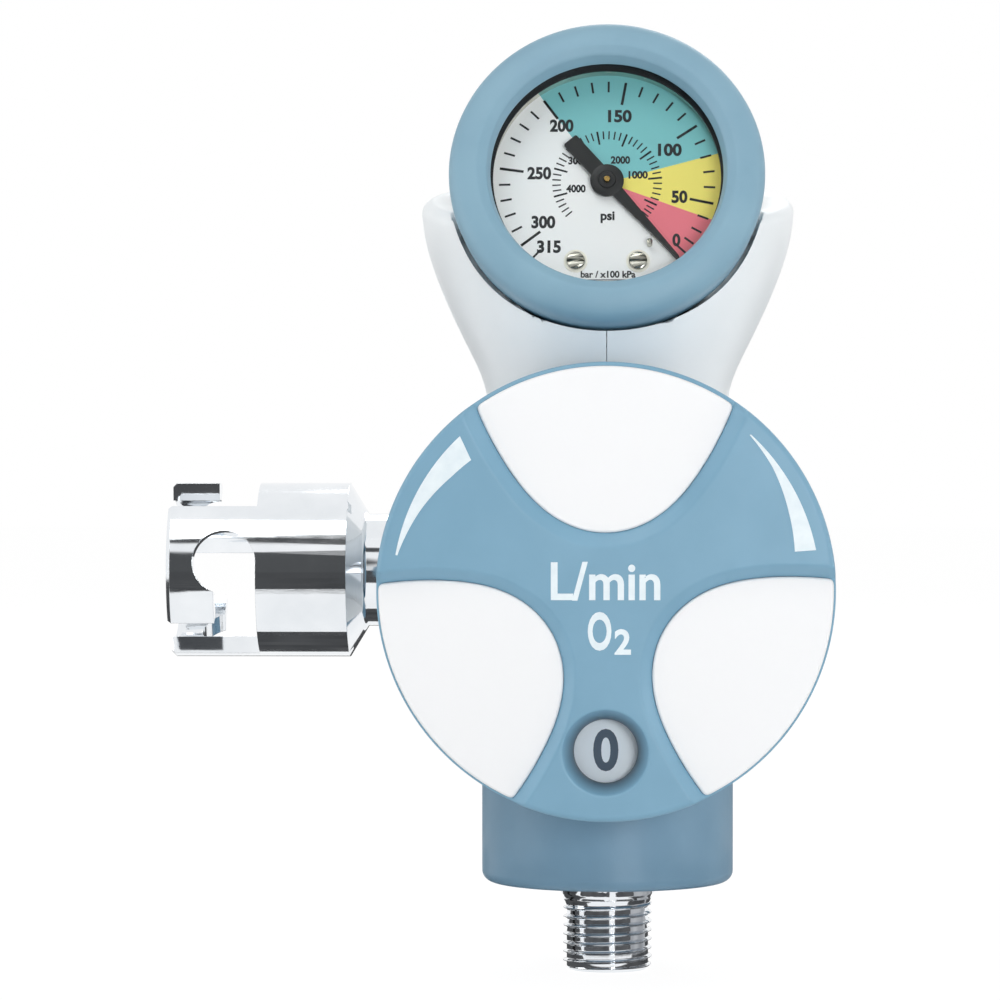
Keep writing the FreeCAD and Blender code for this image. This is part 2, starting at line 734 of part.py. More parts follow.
def skirt():
    """Blue moulded sleeve with a floor, a hole for the outlet and sunk screw holes."""
    inner = SKIRT_R - SKIRT_WALL
    floor = SKIRT_BOTTOM + SKIRT_FLOOR
    sleeve = cyl(SKIRT_R, SKIRT_BOTTOM, SKIRT_TOP)
    sleeve = round_edges(sleeve, SKIRT_EDGE, is_circle(SKIRT_R, SKIRT_BOTTOM))
    sleeve = sleeve.cut(cyl(inner, floor, SKIRT_TOP + PAST))
    sleeve = sleeve.cut(cyl(SPIGOT_NECK_R + SLIP, SKIRT_BOTTOM - PAST, floor + PAST))
    sleeve = cut_all(sleeve, skirt_screw_holes(SKIRT_SCREW_R + RUN, SKIRT_BOTTOM - PAST, floor + PAST))
    sink = SKIRT_BOTTOM + SKIRT_SCREW_HEAD
    return cut_all(sleeve, skirt_screw_holes(SKIRT_SCREW_HEAD_R + RUN, SKIRT_BOTTOM - PAST, sink))


def skirt_screws():
    """Screws through the floor of the skirt into the outlet flange."""
    screw = cap_screw(SKIRT_SCREW_R, SKIRT_SCREW_HEAD_R, SKIRT_SCREW_HEAD, SKIRT_SCREW_LENGTH)
    screw = turn(screw, V(1, 0, 0), 180)
    seat = SKIRT_BOTTOM + SKIRT_SCREW_HEAD
    return screw_circle(SKIRT_SCREWS, SKIRT_SCREW_PITCH_R, screw, seat, SKIRT_SCREW_START)


def inlet_stem():
    """Bullnose stem with its thread, hexagon, tube, shoulder and nose."""
    hex_end = REAR_FACE + STEM_HEX_LENGTH
    groove = NOSE_GROOVE
    groove_end = groove + NOSE_GROOVE_WIDTH
    groove_r = NOSE_R - NOSE_TAPER - NOSE_GROOVE_DEPTH
    stem = turned([(0, STEM_DEPTH), (STEM_THREAD_R, STEM_DEPTH), (STEM_THREAD_R, REAR_FACE),
                   (STEM_HEX / 2, REAR_FACE), (STEM_HEX / 2, hex_end), (STEM_R, hex_end),
                   (STEM_R, NOSE_START), (NOSE_R, NOSE_START + NOSE_RISE), (NOSE_R, NOSE_START + NOSE_LAND),
                   (NOSE_R - NOSE_TAPER, groove), (groove_r, groove), (groove_r, groove_end),
                   (NOSE_R - NOSE_TIP_TAPER, groove_end), (NOSE_TIP_R, NOSE_END), (0, NOSE_END)])
    stem = stem.fuse(hexagon(STEM_HEX, REAR_FACE, hex_end))
    return to_rear(stem.cut(cyl(STEM_BORE_R, STEM_DEPTH - PAST, NOSE_END + PAST)))


def bullnose_o_ring():
    """Seal of the bullnose."""
    return to_rear(seal_ring(NOSE_R - NOSE_TAPER, NOSE_GROOVE_DEPTH, NOSE_GROOVE, NOSE_GROOVE_WIDTH))


def inlet_filter():
    """Sintered filter in front of the stem."""
    return to_rear(cyl(FILTER_R, STEM_DEPTH - FILTER_LENGTH, STEM_DEPTH - LIFT))


def inlet_nut():
    """Turning nut with a hexagon and a male thread, bored for the stem and its shoulder."""
    hex_end = NUT_START + NUT_HEX_LENGTH
    corner = NUT_HEX / math.sqrt(3)
    bar = hexagon(NUT_HEX, NUT_START, hex_end)
    small = corner - NUT_CORNER_CUT
    edge = NUT_CHAMFER
    cone = turned([(0, NUT_START), (small, NUT_START), (corner, NUT_START + edge),
                   (corner, hex_end - edge), (small, hex_end), (0, hex_end)])
    nut = bar.common(cone)
    nut = nut.fuse(turned([(0, hex_end), (NUT_THREAD_R, hex_end), (NUT_THREAD_R, NUT_END - edge),
                           (NUT_THREAD_R - edge, NUT_END), (0, NUT_END)]))
    nut = nut.cut(cyl(STEM_R + SLIP, NUT_START - PAST, NUT_END + PAST))
    return to_rear(nut.cut(cyl(NOSE_R + SLIP, NOSE_START - SLIP, NUT_END + PAST)))


def selector_housing():
    """Round housing that holds the orifice disc, the detent and the shaft."""
    body = cyl(FRONT_BOSS_R, FRONT_FACE, HOUSING_FACE).fuse(cyl(SPIGOT_OF_SCALE_R, HOUSING_FACE, SCALE_FRONT))
    body = body.cut(cyl(CAVITY_R, FRONT_FACE - PAST, CAVITY_TOP))
    body = body.cut(cyl(SHAFT_R + RUN, FRONT_FACE, SCALE_FRONT + PAST))
    x, y = polar(DIMPLE_R, DETENT_ANGLE)
    body = body.cut(cyl(BALL_R + RUN, CAVITY_TOP - PAST, DETENT_HOLE_END, x, y))
    body = cut_all(body, selector_screw_holes(SELECTOR_SCREW_R + RUN, FRONT_FACE - PAST, HOUSING_FACE + PAST))
    return to_front(body)


def selector_screws():
    """Long screws through the scale plate and the housing into the body."""
    screw = cap_screw(SELECTOR_SCREW_R, SELECTOR_SCREW_HEAD_R, SELECTOR_SCREW_HEAD,
                      SCALE_FRONT - FRONT_FACE + SELECTOR_SCREW_DEPTH)
    return to_front(screw_circle(SELECTOR_SCREWS, SELECTOR_SCREW_PITCH_R, screw, SCALE_FRONT,
                                 SELECTOR_SCREW_START))


def flow_dial():
    """Fixed silver plate with the flow numbers, seen through the knob's window."""
    plate = ring(SCALE_R, SPIGOT_OF_SCALE_R + RUN, HOUSING_FACE, SCALE_FRONT)
    holes = selector_screw_holes(SELECTOR_SCREW_R + RUN, HOUSING_FACE - PAST, SCALE_FRONT + PAST)
    return to_front(cut_all(plate, holes))


def selector_seal():
    """Face seal round the metering port."""
    seal = cyl(SEAL_COLLAR_R, FRONT_FACE - DISC_GAP, DISC_BACK - LIFT, 0, -METER_DROP)
    return to_front(seal.cut(cyl(METER_R, 0, DISC_BACK + PAST, 0, -METER_DROP)))


def orifice_disc():
    """Disc with graded metering holes and a ring of dimples for the detent ball."""
    disc = cyl(DISC_R, DISC_BACK, DISC_FRONT)
    disc = disc.cut(cyl(SHAFT_R, DISC_BACK - PAST, DISC_FRONT + PAST))
    ball_z = DISC_FRONT - DIMPLE_DEPTH + BALL_R + RUN
    step = 360.0 / POSITIONS
    for i in range(1, POSITIONS):
        x, y = polar(METER_DROP, -90 + step * i)
        size = METER_HOLE_MIN + METER_HOLE_STEP * i
        disc = disc.cut(cyl(size, DISC_BACK - PAST, DISC_FRONT + PAST, x, y))
    for i in range(POSITIONS):
        x, y = polar(DIMPLE_R, DETENT_ANGLE - step * i)
        disc = disc.cut(Part.makeSphere(BALL_R + RUN, V(x, y, ball_z)))
    return to_front(disc)


def selector_shaft():
    """Shaft of the knob with its flange, seal groove and flat."""
    flange_end = DISC_FRONT + SHAFT_FLANGE
    groove_end = SHAFT_GROOVE_Z + SHAFT_GROOVE_WIDTH
    inner = SHAFT_R - SHAFT_GROOVE_DEPTH
    end = HUB_BORE_END - LIFT
    shaft = turned([(0, DISC_BACK), (SHAFT_R, DISC_BACK), (SHAFT_R, DISC_FRONT),
                    (SHAFT_FLANGE_R, DISC_FRONT), (SHAFT_FLANGE_R, flange_end), (SHAFT_R, flange_end),
                    (SHAFT_R, SHAFT_GROOVE_Z), (inner, SHAFT_GROOVE_Z), (inner, groove_end),
                    (SHAFT_R, groove_end), (SHAFT_R, end), (0, end)])
    return to_front(shaft.cut(shaft_flat(HUB_START)))


def shaft_flat(low):
    """Block that makes the flat of the shaft, and the bridge left in the hub."""
    return Part.makeBox(SHAFT_R * 2, SHAFT_R, KNOB_FRONT - low, V(-SHAFT_R, SHAFT_R - SHAFT_FLAT, low))


def shaft_o_ring():
    """Seal of the selector shaft."""
    return to_front(seal_ring(SHAFT_R, SHAFT_GROOVE_DEPTH, SHAFT_GROOVE_Z, SHAFT_GROOVE_WIDTH))


def thrust_washer():
    """Slippery washer between the shaft's flange and the housing."""
    low = DISC_FRONT + SHAFT_FLANGE + LIFT
    return to_front(ring(SHAFT_FLANGE_R + 1, SHAFT_R + RUN * 2, low, CAVITY_TOP))


def detent_ball():
    """Ball that clicks into the disc's dimples, drawn just clear of the disc."""
    x, y = polar(DIMPLE_R, DETENT_ANGLE)
    return to_front(Part.makeSphere(BALL_R, V(x, y, DISC_FRONT + BALL_R + LIFT)))


def detent_spring():
    """Spring behind the detent ball."""
    x, y = polar(DIMPLE_R, DETENT_ANGLE)
    low = DISC_FRONT + 2 * (BALL_R + LIFT)
    spring = coil(DETENT_COIL_R, DETENT_WIRE_R, low, DETENT_HOLE_END - LIFT, DETENT_TURNS)
    spring.translate(V(x, y, 0))
    return to_front(spring)


def knob_dome(inner_z, outer_z, base):
    """Solid of the knob's radius under a shallow dome from its middle height to its rim height."""
    top = V(0, 0, inner_z)
    rim = V(KNOB_R, 0, outer_z)
    half = V(KNOB_R / 2, 0, inner_z - (inner_z - outer_z) / 4)
    edges = [Part.makeLine(V(0, 0, base), top), Part.Arc(top, half, rim).toShape(),
             Part.makeLine(rim, V(KNOB_R, 0, base)), Part.makeLine(V(KNOB_R, 0, base), V(0, 0, base))]
    return Part.Face(Part.Wire(edges)).revolve(V(0, 0, 0), V(0, 0, 1), 360)


def panel_outline(offset, reach):
    """Outline of the upper finger panel: round inner end, straight flanks, arc along the rim."""
    r = PANEL_ARC_R + offset
    low = PANEL_DOWN - PANEL_ARC_HALF
    high = PANEL_DOWN + PANEL_ARC_HALF
    ends = [V(x, PANEL_ARC_CENTRE + y, 0) for x, y in (polar(r, a) for a in (low, PANEL_DOWN, high))]
    run = V(*polar(1, PANEL_ARC_HALF), 0)
    corner = rim_point(ends[2], run, reach)
    mirror = V(-corner.x, corner.y, 0)
    edges = [Part.Arc(ends[0], ends[1], ends[2]).toShape(), Part.makeLine(ends[2], corner),
             Part.Arc(corner, V(0, reach, 0), mirror).toShape(), Part.makeLine(mirror, ends[0])]
    return Part.Face(Part.Wire(edges))


def rim_point(start, run, reach):
    """Where a line from a point along a direction leaves a circle about the origin."""
    b = start.x * run.x + start.y * run.y
    c = start.x ** 2 + start.y ** 2 - reach ** 2
    t = -b + math.sqrt(b * b - c)
    return V(start.x + run.x * t, start.y + run.y * t, 0)


def panel_bar(offset, reach, low, high):
    """Upright bar with the panel's outline and rounded rim corners."""
    face = panel_outline(offset, reach)
    face.translate(V(0, 0, low))
    bar = face.extrude(V(0, 0, high - low))
    return round_edges(bar, PANEL_CORNER, lambda e: abs(e.BoundBox.ZLength - (high - low)) < 1e-6
                       and isinstance(e.Curve, Part.Line) and e.BoundBox.YMin > PANEL_ARC_CENTRE)


def three_times(shape):
    """The shape at each of the knob's panels."""
    return [turn(shape, V(0, 0, 1), 360 * i / PANELS) for i in range(PANELS)]


def knob_body():
    """Blue knob: cup with three raised arms, pockets for the panels, a window and a hub."""
    knob = knob_dome(KNOB_FRONT, KNOB_FRONT - KNOB_EDGE_DROP, KNOB_BACK)
    reach = KNOB_R - RIM_LIP
    valley = panel_bar(PANEL_GAP, KNOB_R * 1.2, PANEL_FLOOR + PANEL_SHOULDER, KNOB_FRONT + PAST)
    knob = cut_all(knob, three_times(valley))
    rim = KNOB_FRONT - KNOB_EDGE_DROP
    knob = round_edges(knob, KNOB_EDGE, lambda e: e.BoundBox.ZMin > rim - SLIP)
    knob = cut_all(knob, three_times(panel_bar(PANEL_GAP, reach, PANEL_FLOOR, KNOB_FRONT + PAST)))
    knob = knob.cut(cyl(KNOB_R - KNOB_WALL, KNOB_BACK - PAST, KNOB_INSIDE))
    hub = cyl(HUB_R, HUB_START, KNOB_INSIDE + PAST)
    bore = cyl(SHAFT_R, HUB_START - PAST, HUB_BORE_END).cut(shaft_flat(HUB_START - PAST))
    under = KNOB_INSIDE - PAST
    above = KNOB_FRONT + PAST
    window = turned([(0, under), (WINDOW_R, under), (WINDOW_R, KNOB_INSIDE + PAST),
                     (WINDOW_MOUTH_R, KNOB_FRONT), (WINDOW_MOUTH_R, above), (0, above)])
    window.translate(V(0, -WINDOW_PITCH_R, 0))
    return to_front(knob.fuse(hub).cut(bore).cut(window))


def grip_insert(index):
    """White domed finger panel."""
    bar = panel_bar(0, KNOB_R - RIM_LIP - PANEL_GAP, PANEL_FLOOR, KNOB_FRONT + PAST)
    panel = bar.common(knob_dome(PANEL_INNER_Z, PANEL_OUTER_Z, PANEL_FLOOR))
    drop = PANEL_INNER_Z - PANEL_OUTER_Z
    panel = round_edges(panel, PANEL_EDGE, lambda e: e.BoundBox.ZMin > PANEL_FLOOR + PANEL_EDGE / 2
                        and e.BoundBox.ZLength < drop + SLIP)
    return to_front(turn(panel, V(0, 0, 1), 360 * index / PANELS))


def flare_edges(inset):
    """Outline of the shell's flare moved inward by a wall."""
    points = [V(SKIRT_R + out - inset, 0, z) for out, z in FLARE]
    curve = Part.BSplineCurve()
    curve.interpolate(points, InitialTangent=V(-0.02, 0, 1), FinalTangent=V(0, 0, 1))
    return points, curve.toShape()


def shell_form(inset):
    """Outer form of the shell, or its hollow when an inset is given."""
    points, flare = flare_edges(inset)
    top = POD_R * 4
    low = SHELL_BOTTOM - inset
    start = V(SKIRT_R - inset, 0, low)
    high = V(points[-1].x, 0, top)
    edges = [Part.makeLine(V(0, 0, low), start), Part.makeLine(start, points[0]), flare,
             Part.makeLine(points[-1], high), Part.makeLine(high, V(0, 0, top)),
             Part.makeLine(V(0, 0, top), V(0, 0, low))]
    form = Part.Face(Part.Wire(edges)).revolve(V(0, 0, 0), V(0, 0, 1), 360)
    above = Part.makeBox(POD_R * 8, POD_R * 8, POD_R * 8, V(-POD_R * 4, -POD_R * 4, 0))
    above = turn(above, V(1, 0, 0), DECK_SLOPE)
    above.translate(V(0, 0, DECK_Z - inset))
    form = form.cut(above)
    return round_edges(form, DECK_EDGE, lambda e: e.BoundBox.ZMax > DECK_Z and e.BoundBox.XLength > POD_R * 2)


def pod():
    """Round housing behind the gauge, with a soft rear edge."""
    body = cyl(POD_R, POD_BACK, POD_FRONT)
    return to_gauge(round_edges(body, POD_EDGE, is_circle(POD_R, POD_BACK)))


def shell_whole():
    """Both halves as one: flared neck, deck, pod, openings and no bosses yet."""
    outer = shell_form(0).fuse(pod())
    room = to_gauge(cyl(CAN_R + CAN_PLAY, POD_BACK + POD_WALL, BEZEL_R))
    hollow = shell_form(SHELL_WALL).fuse(room)
    bezel_room = to_gauge(cyl(BEZEL_R + BEZEL_GAP, POD_FRONT, BEZEL_R * 2))
    half = FRONT_BOSS_R + SADDLE_GAP
    front = to_front(cyl(half, 0, BEZEL_R * 2))
    slot = Part.makeBox(2 * half, BEZEL_R * 2, PAST - SHELL_BOTTOM,
                        V(-half, -BEZEL_R * 2, SHELL_BOTTOM - PAST))
    rear = to_rear(cyl(REAR_BOSS_R + SLIP, 0, BEZEL_R * 2))
    left = to_left(cyl(SLEEVE_NECK_R + SLIP, 0, BEZEL_R * 2))
    cutters = Part.makeCompound([bezel_room, front, slot, rear, left])
    return outer, hollow, cutters


def shell_half(side):
    """One half of the shell with its screw bosses; side is -1 left, 1 right."""
    outer, hollow, cutters = shell_whole()
    size = POD_R * 8
    edge = 0 if side > 0 else -size
    keep = Part.makeBox(size, size * 2, size * 2, V(edge, -size, -size))
    half = outer.cut(hollow).common(keep)
    for y, z in SHELL_SCREW_PLACES:
        boss = to_right(cyl(SHELL_BOSS_R, -size, size))
        boss.translate(V(0, y, z - SIDE_Z))
        half = half.fuse(boss.common(keep).common(outer))
    half = half.cut(cutters)
    for y, z in SHELL_SCREW_PLACES:
        if side > 0:
            tool = cyl(SHELL_SCREW_R + RUN, -PAST, size)
            tool = tool.fuse(cyl(SHELL_SCREW_HEAD_R + SLIP, SHELL_SCREW_SEAT, size))
        else:
            tool = cyl(SHELL_SCREW_R, SHELL_SCREW_SEAT - SHELL_SCREW_LENGTH, PAST)
        tool = to_right(tool)
        tool.translate(V(0, y, z - SIDE_Z))
        half = half.cut(tool)
    return half


def shell_screws():
    """Screws from the right that pull the two halves together."""
    screw = cap_screw(SHELL_SCREW_R, SHELL_SCREW_HEAD_R, SHELL_SCREW_HEAD, SHELL_SCREW_LENGTH)
    group = []
    for y, z in SHELL_SCREW_PLACES:
        one = to_right(screw)
        one.translate(V(SHELL_SCREW_SEAT, y, z - SIDE_Z))
        group.append(one)
    return Part.makeCompound(group)


def wedge(start, end, radius, low, high):
    """Upright sector of a circle between two angles."""
    def corner(a):
        x, y = polar(radius, a)
        return V(x, y, low)
    edges = [Part.makeLine(V(0, 0, low), corner(start)),
             Part.Arc(corner(start), corner((start + end) / 2), corner(end)).toShape(),
             Part.makeLine(corner(end), V(0, 0, low))]
    return Part.Face(Part.Wire(edges)).extrude(V(0, 0, high - low))


def quick_sleeve():
    """Chromed bayonet sleeve, neck and threaded nipple in one turned piece."""
    edge = SLEEVE_CHAMFER
    sleeve = turned([(0, NIPPLE_END), (NIPPLE_R, NIPPLE_END), (NIPPLE_R, SIDE_FACE),
                     (SLEEVE_NECK_R, SIDE_FACE), (SLEEVE_NECK_R, SLEEVE_CONE_END),
                     (SLEEVE_R, SLEEVE_SHOULDER), (SLEEVE_R, SLEEVE_END - edge),
                     (SLEEVE_R - edge, SLEEVE_END), (0, SLEEVE_END)])
    inlet = NIPPLE_END - PAST
    bore = turned([(0, inlet), (VALVE_R, inlet), (VALVE_R, LAND_END - LAND_STEP), (LAND_R, LAND_END),
                   (LAND_R, PROBE_END), (PROBE_R, PROBE_END), (PROBE_R, SEAL_START),
                   (PROBE_R + SEAL_WALL, SEAL_START), (PROBE_R + SEAL_WALL, SEAL_START + SEAL_LENGTH),
                   (PROBE_R, SEAL_START + SEAL_LENGTH), (PROBE_R, CUP_FLOOR), (CUP_R, CUP_FLOOR),
                   (CUP_R, SLEEVE_END + PAST), (0, SLEEVE_END + PAST)])
    slots = [turn(bayonet_slot(), V(0, 0, 1), 360 * i / SLOTS) for i in range(SLOTS)]
    return to_left(cut_all(sleeve.cut(bore), slots))


def bayonet_slot():
    """Cutter of one slot: straight entry from the free end, then a leg round to the pocket."""
    entry = SLOT_ENTRY_ANGLE
    reach = SLEEVE_R * 1.5
    end = SLEEVE_END + PAST
    inside = cyl(CUP_R - PAST, CUP_FLOOR, end + PAST)
    mouth = wedge(entry - SLOT_ENTRY_HALF, entry + SLOT_ENTRY_HALF, reach, SLOT_NEAR, end)
    leg = wedge(entry, SLOT_POCKET_ANGLE, reach, SLOT_NEAR, SLOT_FAR)
    pocket = Part.makeCylinder(SLOT_POCKET_R, reach, V(0, 0, 0), V(1, 0, 0))
    pocket = turn(pocket, V(0, 0, 1), SLOT_POCKET_ANGLE)
    pocket.translate(V(0, 0, SLOT_POCKET_X))
    tool = mouth.fuse(leg).fuse(pocket).cut(inside)
    return turn(tool, V(0, 0, 1), -90)


def socket_seal():
    """Seal ring for the probe in the floor of the cup."""
    return to_left(ring(PROBE_R + SEAL_WALL, PROBE_R + RUN, SEAL_START, SEAL_START + SEAL_LENGTH))


def quick_poppet():
    """Valve poppet that a probe pushes in."""
    face = LAND_END - LAND_STEP - LIFT
    tail = QUICK_HEAD_BACK - QUICK_TAIL
    head_edge = QUICK_HEAD_CHAMFER
    stem_edge = QUICK_STEM_CHAMFER
    return to_left(turned([(0, tail), (QUICK_STEM_R, tail), (QUICK_STEM_R, QUICK_HEAD_BACK),
                           (QUICK_HEAD_R, QUICK_HEAD_BACK), (QUICK_HEAD_R, face - head_edge),
                           (QUICK_HEAD_R - head_edge, face), (QUICK_STEM_R, face),
                           (QUICK_STEM_R, QUICK_STEM_END - stem_edge),
                           (QUICK_STEM_R - stem_edge, QUICK_STEM_END), (0, QUICK_STEM_END)]))


def quick_spring():
    """Spring of the quick outlet's poppet."""
    low = QUICK_SPRING_END + LIFT
    return to_left(coil(QUICK_COIL_R, QUICK_WIRE_R, low, QUICK_HEAD_BACK - LIFT, QUICK_TURNS))


def spring_retainer():
    """Drilled ring that carries the quick outlet's spring."""
    return to_left(ring(VALVE_R, QUICK_STEM_R, QUICK_SPRING_END - RETAINER_THICK, QUICK_SPRING_END))


def relief_poppet():
    """Poppet of the relief valve."""
    low = RELIEF_SEAT_X + LIFT
    return to_right(cyl(RELIEF_POPPET_R, low, low + RELIEF_POPPET))


def relief_spring():
    """Spring of the relief valve."""
    low = RELIEF_SEAT_X + LIFT * 2 + RELIEF_POPPET
    return to_right(coil(RELIEF_COIL_R, RELIEF_WIRE_R, low, RELIEF_FACE - RELIEF_CAP - LIFT, RELIEF_TURNS))


def relief_cap():
    """Vented cap of the relief valve."""
    return to_right(ring(RELIEF_BORE_R, RELIEF_VENT_R, RELIEF_FACE - RELIEF_CAP, RELIEF_FACE))


def gauge_case():
    """Drawn can of the gauge, with a hole for the socket's shank."""
    can = cyl(CAN_R, CAN_BACK, CAN_FRONT)
    can = can.cut(cyl(CAN_R - CAN_WALL, CAN_BACK + CAN_WALL, CAN_FRONT + PAST))
    hole = cyl(SOCKET_SHANK_R + RUN, CAN_BACK - PAST, CAN_BACK + CAN_WALL + PAST, 0, SOCKET_V)
    return to_gauge(can.cut(hole))


def socket_block():
    """Plain block of the gauge's socket."""
    high = SOCKET_BLOCK_HIGH - SOCKET_BLOCK_LOW
    deep = SOCKET_BLOCK_FRONT - SOCKET_BLOCK_BACK
    return Part.makeBox(2 * SOCKET_HALF, high, deep, V(-SOCKET_HALF, SOCKET_BLOCK_LOW, SOCKET_BLOCK_BACK))


def gauge_socket():
    """Brass socket: shank, block that carries the tube, and two posts for the dial."""
    block = socket_block().common(cyl(CAN_R - CAN_WALL - SLIP, SOCKET_BLOCK_BACK, SOCKET_BLOCK_FRONT))
    shank = cyl(SOCKET_SHANK_R, SOCKET_SHANK_END, SOCKET_BLOCK_BACK, 0, SOCKET_V)
    socket = block.fuse(shank)
    for side in (-1, 1):
        u = side * DIAL_SCREW_U
        socket = socket.fuse(cyl(DIAL_POST_R, SOCKET_BLOCK_FRONT, DIAL_W - DIAL_THICK, u, SOCKET_V))
        socket = socket.cut(cyl(DIAL_SCREW_R, SOCKET_BLOCK_FRONT, 0, u, SOCKET_V))
    socket = socket.cut(cyl(SOCKET_BORE_R, SOCKET_SHANK_END - PAST, TUBE_W, 0, SOCKET_V))
    across = Part.makeCylinder(SOCKET_BORE_R, SOCKET_HALF + PAST, V(0, SOCKET_V, TUBE_W), V(1, 0, 0))
    socket = socket.cut(across)
    return to_gauge(socket)


def bourdon_tube():
    """Flattened tube bent to a C, closed by an end piece that carries the link's pin."""
    def section(thick, wide):
        flank = wide - thick
        corners = [(thick, -flank), (thick, flank), (thick * 0.5, wide), (-thick * 0.5, wide),
                   (-thick, flank), (-thick, -flank), (-thick * 0.5, -wide), (thick * 0.5, -wide)]
        return face_of([V(TUBE_R + r, 0, TUBE_W + w) for r, w in corners])
    sweep = TUBE_TIP - TUBE_START
    tube = section(TUBE_HALF_THICK, TUBE_HALF_WIDE).revolve(V(0, 0, 0), V(0, 0, 1), sweep)
    hollow = section(TUBE_HALF_THICK - TUBE_WALL, TUBE_HALF_WIDE - TUBE_WALL)
    tube = tube.cut(hollow.revolve(V(0, 0, 0), V(0, 0, 1), sweep))
    tube = turn(tube, V(0, 0, 1), TUBE_START)
    tip_low = TUBE_W - TUBE_HALF_WIDE
    tip_high = SECTOR_W - TIP_GAP
    tip = Part.makeBox(TIP_WIDE, TIP_HIGH, tip_high - tip_low, V(TUBE_R - TIP_INSIDE, -TIP_BELOW, tip_low))
    tip = turn(tip, V(0, 0, 1), TUBE_TIP)
    u, v = link_pin_place()
    pin = cyl(LINK_PIN_R, tip_high - ARM_THICK / 2, LINK_W + LINK_THICK + PIN_STAND, u, v)
    arm = Part.makeBox(2 * ARM_HALF, ARM_HALF + ARM_LENGTH, ARM_THICK,
                       V(u - ARM_HALF, v - ARM_HALF, tip_high - ARM_THICK))
    return to_gauge(tube.fuse(tip).fuse(arm).fuse(pin).cut(socket_block()))


def link_pin_place():
    """Place of the pin on the tube's end piece, above the sector's tail."""
    return SECTOR_U - TAIL - LINK_PIN_OUT, LINK_PIN_V


def plate_outline(thick_low):
    """Movement plate with rounded ends."""
    bar = cyl(PLATE_R, thick_low, thick_low + PLATE_THICK)
    wing = cyl(PLATE_R * WING_SHARE, thick_low, thick_low + PLATE_THICK, SECTOR_U, 0)
    wide = PLATE_R * WEB_SHARE
    web = Part.makeBox(-SECTOR_U, wide, PLATE_THICK, V(SECTOR_U, -wide / 2, thick_low))
    return bar.fuse(wing).fuse(web)


def staff_holes(low):
    """Holes of a plate for the spindle and for the sector's staff."""
    return [cyl(SPINDLE_R + RUN, low - PAST, low + PLATE_THICK + PAST, u) for u in (0, SECTOR_U)]


def movement_back_plate():
    """Rear plate of the movement, with the tab that stands on the socket block."""
    plate = plate_outline(BACK_PLATE_W)
    tab = Part.makeBox(TAB_WIDE, TAB_HIGH, PLATE_THICK, V(-TAB_WIDE / 2, -PLATE_HALF, BACK_PLATE_W))
    return to_gauge(cut_all(plate.fuse(tab), staff_holes(BACK_PLATE_W)))


def movement_front_plate():
    """Front plate of the movement."""
    return to_gauge(cut_all(plate_outline(FRONT_PLATE_W), staff_holes(FRONT_PLATE_W)))


def movement_pillars():
    """Two pillars between the plates."""
    low = BACK_PLATE_W + PLATE_THICK
    pillars = [cyl(PILLAR_R, low, FRONT_PLATE_W, PILLAR_U, side * PILLAR_V) for side in (-1, 1)]
    return to_gauge(Part.makeCompound(pillars))


def gear_points(radius, count, first, last, phase):
    """Corners of trapezoid teeth along a pitch circle."""
    rise = TOOTH_RISE * GEAR_MODULE
    root = radius - rise - ROOT_PLAY
    tip = radius + rise
    tooth = ((root, -TOOTH_ROOT_HALF), (tip, -TOOTH_TIP_HALF), (tip, TOOTH_TIP_HALF), (root, TOOTH_ROOT_HALF))
    pitch = 360.0 / count
    teeth = int((last - first) / pitch)
    points = []
    for i in range(teeth):
        middle = first + phase + pitch * (i + 0.5)
        points += [polar(r, middle + pitch * share) for r, share in tooth]
    return points


def sector_gear():
    """Toothed sector with its staff and tail."""
    pitch = 360.0 / SECTOR_TEETH
    start = pitch * (round(SECTOR_FIRST / pitch) + 0.5)
    teeth = gear_points(SECTOR_R, SECTOR_TEETH, start, SECTOR_LAST, 0)
    tail = [(-TAIL, TAIL_HALF), (-TAIL - TAIL_HALF, 0), (-TAIL, -TAIL_HALF)]
    outline = [(0, -SECTOR_HUB_LOW)] + teeth + [(0, SECTOR_HUB_HIGH)] + tail
    sector = flat(outline, SECTOR_W, SECTOR_W + SECTOR_THICK)
    staff = cyl(SPINDLE_R, BACK_PLATE_W, FRONT_PLATE_W + PLATE_THICK)
    pin = cyl(LINK_PIN_R, SECTOR_W + SECTOR_THICK, LINK_W + LINK_THICK + PIN_STAND, -TAIL, 0)
    gear = sector.fuse(staff).fuse(pin)
    gear.translate(V(SECTOR_U, 0, 0))
    return to_gauge(gear)


def gauge_link():
    """Link from the sector's tail to the tube's end piece."""
    u, v = link_pin_place()
    low = (SECTOR_U - TAIL, 0)
    bar = cyl(LINK_HALF, LINK_W, LINK_W + LINK_THICK, *low)
    bar = bar.fuse(cyl(LINK_HALF + LINK_END_EXTRA, LINK_W, LINK_W + LINK_THICK, u, v))
    lean = math.atan2(v - low[1], u - low[0])
    length = math.hypot(u - low[0], v - low[1])
    web = Part.makeBox(length, LINK_HALF, LINK_THICK, V(0, -LINK_HALF / 2, LINK_W))
    web.rotate(V(0, 0, 0), V(0, 0, 1), math.degrees(lean))
    web.translate(V(low[0], low[1], 0))
    bar = bar.fuse(web).cut(cyl(LINK_PIN_R + RUN, LINK_W - PAST, 0, *low))
    return to_gauge(bar.cut(cyl(LINK_PIN_R + PIVOT_PLAY, LINK_W - PAST, 0, u, v)))


def pointer_spindle():
    """Spindle with the pinion that the sector drives."""
    teeth = gear_points(PINION_R, PINION_TEETH, 0, 360, 0)
    pinion = flat(teeth, SECTOR_W - PINION_SIDE, SECTOR_W + SECTOR_THICK + PINION_SIDE)
    return to_gauge(pinion.fuse(cyl(SPINDLE_R, BACK_PLATE_W, SPINDLE_FRONT)))


